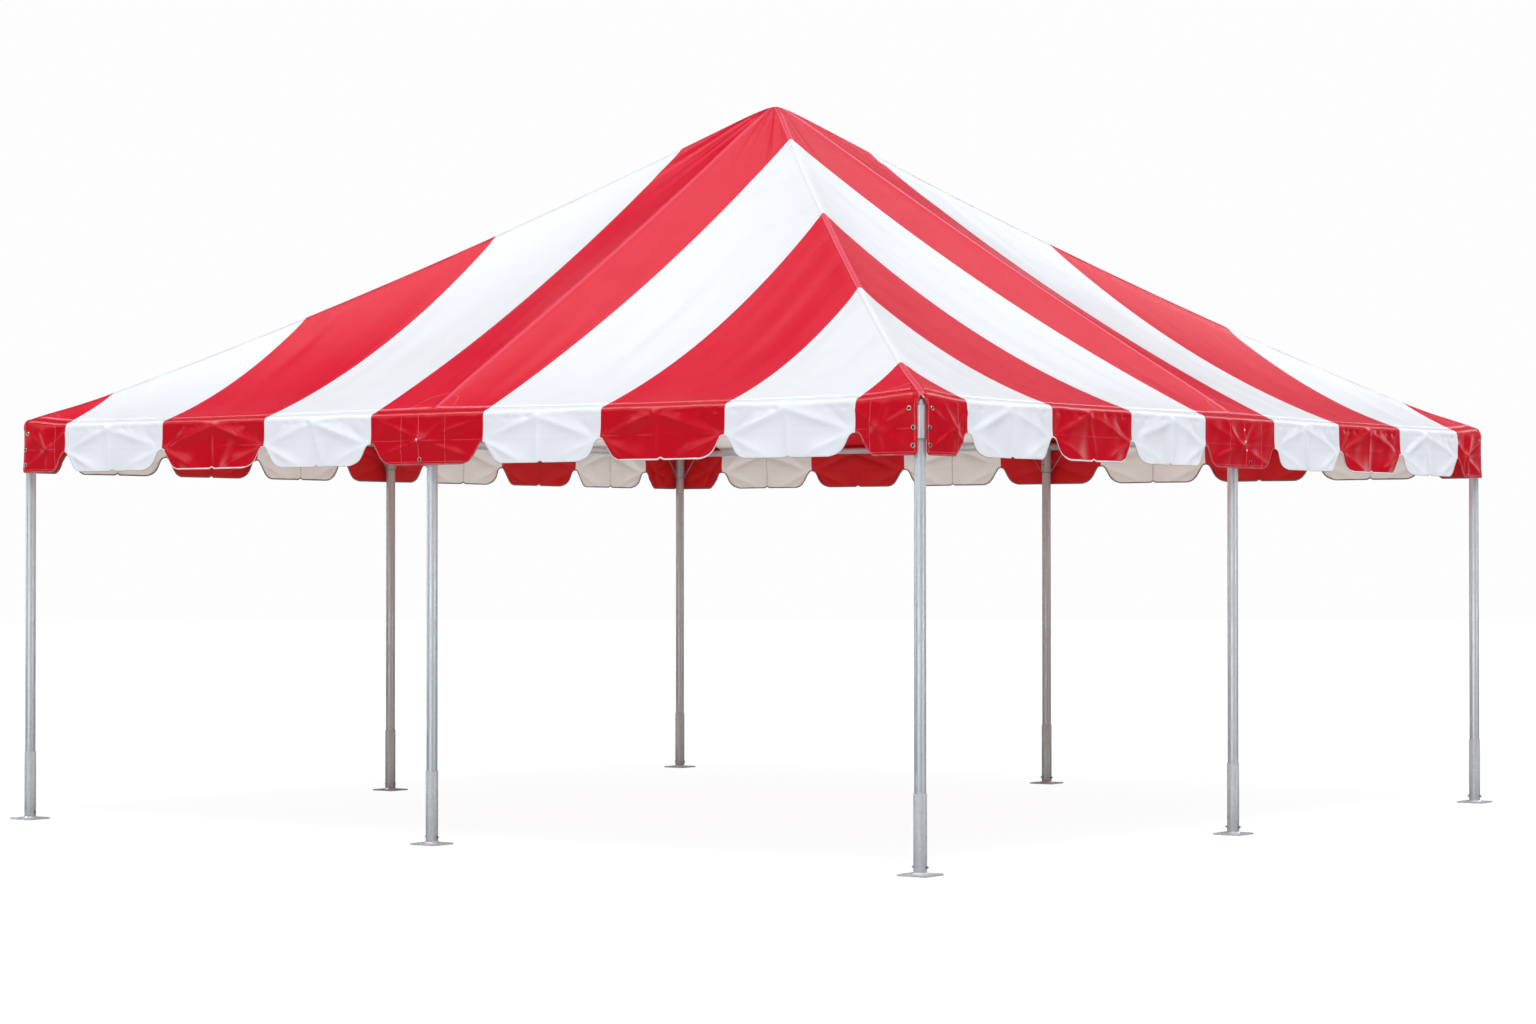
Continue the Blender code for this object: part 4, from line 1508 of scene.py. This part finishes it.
def rafterPath(diagonal):
    # straight where it goes into a fitting, bowed between
    setup = pipeShape
    reach = tent["legReach"] * (math.sqrt(2) if diagonal else 1)
    crown = rafterPoint(setup["crownStart"], diagonal)
    inner = rafterPoint(setup["straight"], diagonal)
    outer = rafterPoint(reach - setup["straight"], diagonal)
    eave = Vector((reach, 0, tent["pipeHeight"]))
    last = eave + (outer - eave).normalized() * setup["rafterStart"]
    path = [crown]
    for step in range(setup["steps"] + 1):
        distance = inner.x + (outer.x - inner.x) * step / setup["steps"]
        path.append(rafterPoint(distance, diagonal))
    return path + [last]


def modelBentTube(path, radius, wall):
    deselectAll()
    run = path[-1] - path[0]
    bpy.ops.mesh.primitive_circle_add(vertices=32, radius=radius, location=path[0],
                                      rotation=run.to_track_quat("Z", "Y").to_euler())
    tube = bpy.context.object
    bpy.ops.object.mode_set(mode="EDIT")
    bpy.ops.mesh.select_all(action="SELECT")
    for start, end in zip(path, path[1:]):
        bpy.ops.mesh.extrude_region_move(TRANSFORM_OT_translate={"value": tuple(end - start)})
    bpy.ops.mesh.select_all(action="SELECT")
    bpy.ops.mesh.normals_make_consistent(inside=False)
    bpy.ops.object.mode_set(mode="OBJECT")
    hollow(tube, wall)
    return tube


def makeFramePipes(setup):
    reach = tent["legReach"]
    long = reach - 2 * setup["eaveStart"]
    pipe = addCylinder((reach / 2, -reach, tent["pipeHeight"]), setup["radius"], long, (1, 0, 0), 32,
                       "NOTHING")
    hollow(pipe, setup["wall"])
    middle, hip = (modelBentTube(rafterPath(diagonal), setup["radius"], setup["wall"])
                   for diagonal in (False, True))
    for piece in (pipe, middle, hip):
        settle(paint(piece, tubeSteel))
    ends = (("left", "right"), ("front", "back"), ("right", "left"), ("back", "front"))
    for turn, side in enumerate(sides):
        for end, move in zip(ends[turn], (-reach, 0)):
            half = copyTo(pipe, "half", (move, 0, 0))
            name = f"eave_pipe_{side}_{end}"
            finishPiece(copyTo(half, f"tube_{name}", turn=turn), "tube_steel", name)
            bpy.data.objects.remove(half)
        name = f"side_rafter_{side}"
        finishPiece(copyTo(middle, f"tube_{name}", turn=turn - 1), "tube_steel", name)
        name = f"hip_rafter_{endCorners[turn]}"
        finishPiece(copyTo(hip, f"tube_{name}", turn=turn - 0.5), "tube_steel", name)
    for piece in (pipe, middle, hip):
        bpy.data.objects.remove(piece)


makeFramePipes(pipeShape)
print("frame pipes in place")


# fittings: sockets welded round a core, with a set screw on each

fittingShape = {
    "legRadius": 0.0325,
    "pipeRadius": 0.025,
    "legBottom": 2.053,
    "legTop": 2.212,
    "reach": 0.20,
    "socketInset": 0.012,
    "ballRadius": 0.0265,  # the core that the sockets meet in
    "screwRadius": 0.0065,
    "screwHead": 0.005,
    "screwStud": 0.0039,
    "screwLength": 0.016,
    "screwReach": 0.15,  # from the core to the screws on the pipes
    "legScrewDrop": 0.12,
    "crownRadius": 0.075,
    "domeRadius": 0.073,
    "crownBottom": 4.03,
    "crownTop": 4.142,
    "hubHeight": 0.07,
    "crownSocketInset": 0.035,
    "crownSocketLength": 0.145,
    "crownScrewReach": 0.07,
    "pinHeight": 2.102,  # a pin through the socket and the leg
    "pinRadius": 0.0042,
    "pinReach": 0.007,
}


def modelSocket(start, direction, length, radius):
    direction = Vector(direction).normalized()
    start = Vector(start)
    socket = addCylinder(start + direction * length / 2, radius, length, direction, 40)
    applyModifier(socket, "BEVEL", width=0.0012, segments=3, limit_method="ANGLE", angle_limit=1.0)
    return paint(socket, fittingSteel)


def modelScrew(place, direction):
    setup = fittingShape
    direction = Vector(direction).normalized()
    long = setup["screwLength"]
    stud = addCylinder(Vector(place) + direction * long / 2, setup["screwStud"], long, direction, 16)
    head = addCylinder(Vector(place) + direction * long, setup["screwRadius"], setup["screwHead"],
                       direction, 6)
    return [paint(stud, zincBolt), paint(head, zincBolt)]


def modelEaveFitting(directions, rafterDirection):
    # centred on the leg's axis at the height of the eave pipes
    setup = fittingShape
    low = setup["legBottom"] - tent["pipeHeight"]
    high = setup["legTop"] - tent["pipeHeight"]
    inset = setup["socketInset"]
    parts = [modelSocket((0, 0, low), (0, 0, 1), high - low, setup["legRadius"])]
    for direction in directions:
        direction = Vector(direction)
        parts.append(modelSocket(direction * inset, direction, setup["reach"] - inset, setup["pipeRadius"]))
        below = Vector((0, 0, -setup["pipeRadius"]))
        parts += modelScrew(direction * setup["screwReach"] + below, (0, 0, -1))
    uphill = Vector(rafterDirection).normalized()
    parts.append(modelSocket(uphill * inset, uphill, setup["reach"] - inset, setup["pipeRadius"]))
    deselectAll()
    bpy.ops.mesh.primitive_uv_sphere_add(segments=32, ring_count=16, radius=setup["ballRadius"])
    parts.append(paint(bpy.context.object, fittingSteel))
    inward = Vector((uphill.x, uphill.y, 0)).normalized()
    parts += modelScrew(inward * setup["legRadius"] + Vector((0, 0, -setup["legScrewDrop"])), inward)
    across = inward.cross(Vector((0, 0, 1)))
    reach = across * (setup["legRadius"] + setup["pinReach"])
    height = Vector((0, 0, setup["pinHeight"] - tent["pipeHeight"]))
    parts.append(paint(addRod(height - reach, height + reach, setup["pinRadius"]), zincBolt))
    return settle(joinPieces("fitting", parts))


def modelCrown():
    setup = fittingShape
    tall = setup["crownTop"] - setup["crownBottom"]
    high = setup["hubHeight"]
    hub = addCylinder((0, 0, setup["crownBottom"] + high / 2), setup["crownRadius"], high, sides=64)
    applyModifier(hub, "BEVEL", width=0.003, segments=3, limit_method="ANGLE")
    deselectAll()
    bpy.ops.mesh.primitive_uv_sphere_add(segments=48, ring_count=16, radius=setup["domeRadius"],
                                         location=(0, 0, setup["crownBottom"] + high),
                                         scale=(1, 1, (tall - high) / setup["domeRadius"]))
    dome = bpy.context.object
    parts = [paint(hub, fittingSteel), paint(dome, fittingSteel)]
    for step in range(8):
        path = rafterPath(step % 2 == 0)
        slope = (path[1] - path[0]).normalized()
        angle = math.radians(45 * step - 45)
        spin = Matrix.Rotation(angle, 3, "Z")
        start = spin @ (path[0] - slope * setup["crownSocketInset"])
        parts.append(modelSocket(start, spin @ slope, setup["crownSocketLength"], setup["pipeRadius"]))
        below = path[0] + slope * setup["crownScrewReach"] - Vector((0, 0, setup["pipeRadius"]))
        parts += modelScrew(spin @ below, (0, 0, -1))
    return settle(joinPieces("crown", parts))


def makeFittings():
    hipPath = rafterPath(True)
    sidePath = rafterPath(False)
    uphill = hipPath[-2] - hipPath[-1]
    flat = uphill.x / math.sqrt(2)
    # the front right corner, whose eave pipes run to -X and +Y
    corner = modelEaveFitting([(-1, 0, 0), (0, 1, 0)], (flat, -flat, uphill.z))
    uphill = sidePath[-2] - sidePath[-1]
    # the middle of the front
    middle = modelEaveFitting([(-1, 0, 0), (1, 0, 0)], (0, -uphill.x, uphill.z))
    for turn, side in enumerate(sides):
        corners = (corner, endCorners[turn], f"corner_fitting_{endCorners[turn]}")
        for model, leg, name in (corners, (middle, f"{side}_middle", f"side_fitting_{side}")):
            x, y = legPlaces[leg]
            fitting = copyTo(model, f"cast_{name}", (x, y, tent["pipeHeight"]), turn)
            # fittings on those legs take the steel painted darker as painted shade
            for place in fitting.material_slots:
                if leg in shadedFarLegs and place.material == fittingSteel:
                    place.material = shadedFittingSteel
            finishPiece(fitting, "fitting_steel", name)
    bpy.data.objects.remove(corner)
    bpy.data.objects.remove(middle)
    crown = modelCrown()
    crown.name = "cast_crown"
    finishPiece(crown, "fitting_steel", "crown_fitting")


makeFittings()
print("fittings made")


# ties from the eave pipes down to the legs, two on each leg

tieShape = {
    "reach": 0.14,
    "drop": 0.17,
    "radius": 0.0012,
    "apart": 0.007,
    "clearance": 0.001,
    "start": 0.024,  # below the axis of the pipe
}
tieMaterial = plainMaterial("tieWire", (0.30, 0.29, 0.28), 0.5, 0.4)


def makeTies(setup):
    clearance = setup["clearance"]
    for name, (x, y) in legPlaces.items():
        post = Vector((x, y, 0))
        if name.endswith("_middle"):
            outward = post.normalized()
            ways = [Vector((-outward.y, outward.x, 0)), Vector((outward.y, -outward.x, 0))]
        else:
            ways = [Vector((-math.copysign(1, x), 0, 0)), Vector((0, -math.copysign(1, y), 0))]
        parts = []
        for way in ways:
            across = Vector((-way.y, way.x, 0))
            top = post + way * setup["reach"] + Vector((0, 0, tent["pipeHeight"]))
            foot = post + Vector((0, 0, tent["pipeHeight"] - setup["drop"]))
            start = top - Vector((0, 0, setup["start"]))
            end = foot + way * (fittingShape["legRadius"] + clearance)
            for offset in (-1, 1):
                shift = across * setup["apart"] / 2 * offset
                parts.append(addRod(start + shift, end + shift, setup["radius"], 8))
            for place, radius in ((top, pipeShape["radius"] + clearance), (foot, fittingShape["legRadius"])):
                deselectAll()
                turn = way.to_track_quat("Z", "Y").to_euler() if place is top else (0, 0, 0)
                bpy.ops.mesh.primitive_torus_add(location=place, rotation=turn,
                                                 major_radius=radius + clearance,
                                                 minor_radius=setup["radius"], major_segments=32,
                                                 minor_segments=8)
                parts.append(bpy.context.object)
        for part in parts:
            paint(part, tieMaterial)
        finishPiece(settle(joinPieces(f"ties_{name}", parts)), "fitting_steel")


makeTies(tieShape)
print("ties fixed")


# grommets in the flaps and patches

grommetShape = {
    "radius": 0.0098,
    "thickness": 0.0030,
    "flatness": 0.45,
    "hole": 0.0062,
    "corners": ((0.046, 2.196), (0.026, 2.105), (0.028, 2.020)),  # from the end of a flap, and height
    "middles": ((-0.045, 2.004), (0.105, 2.006), (-0.04, 2.006), (0.09, 2.006)),  # one on each side
    "span": 0.012,  # over which the lie of the cloth is measured
    "rise": 0.0006,
}


def modelGrommet(setup):
    # lies in the XY plane, facing +Z
    deselectAll()
    bpy.ops.mesh.primitive_torus_add(major_radius=setup["radius"], minor_radius=setup["thickness"],
                                     major_segments=28, minor_segments=10)
    ring = paint(resizeMesh(1, 1, setup["flatness"]), brassGrommet)
    # the disc in the hole is painted near black as painted shade
    disc = paint(addCylinder((0, 0, 0.0002), setup["hole"] + 0.001, 0.0008, sides=24), paintedHoleShade)
    return settle(joinPieces("grommet", [ring, disc]))


def makeGrommets(setup):
    model = modelGrommet(setup)
    for turn, side in enumerate(sides):
        end = tent["clothReach"] - valanceShape["cornerSlit"]
        places = [(way * (end - inset), height) for way in (-1, 1) for inset, height in setup["corners"]]
        span = setup["span"]
        parts = []
        for along, height in places + [setup["middles"][turn]]:
            spot, left, right, low, high = (
                Vector(valanceSpot(turn, along + across, height + up))
                for across, up in ((0, 0), (-span, 0), (span, 0), (0, -span), (0, span)))
            normal = (right - left).cross(high - low).normalized()
            copy = copyTo(model, "grommet_copy")
            copy.data.transform(Matrix.Translation(spot + normal * setup["rise"])
                                @ normal.to_track_quat("Z", "Y").to_matrix().to_4x4())
            parts.append(copy)
        finishPiece(joinPieces(f"grommets_{side}", parts), "fitting_steel")
    bpy.data.objects.remove(model)


makeGrommets(grommetShape)
print("grommets set")
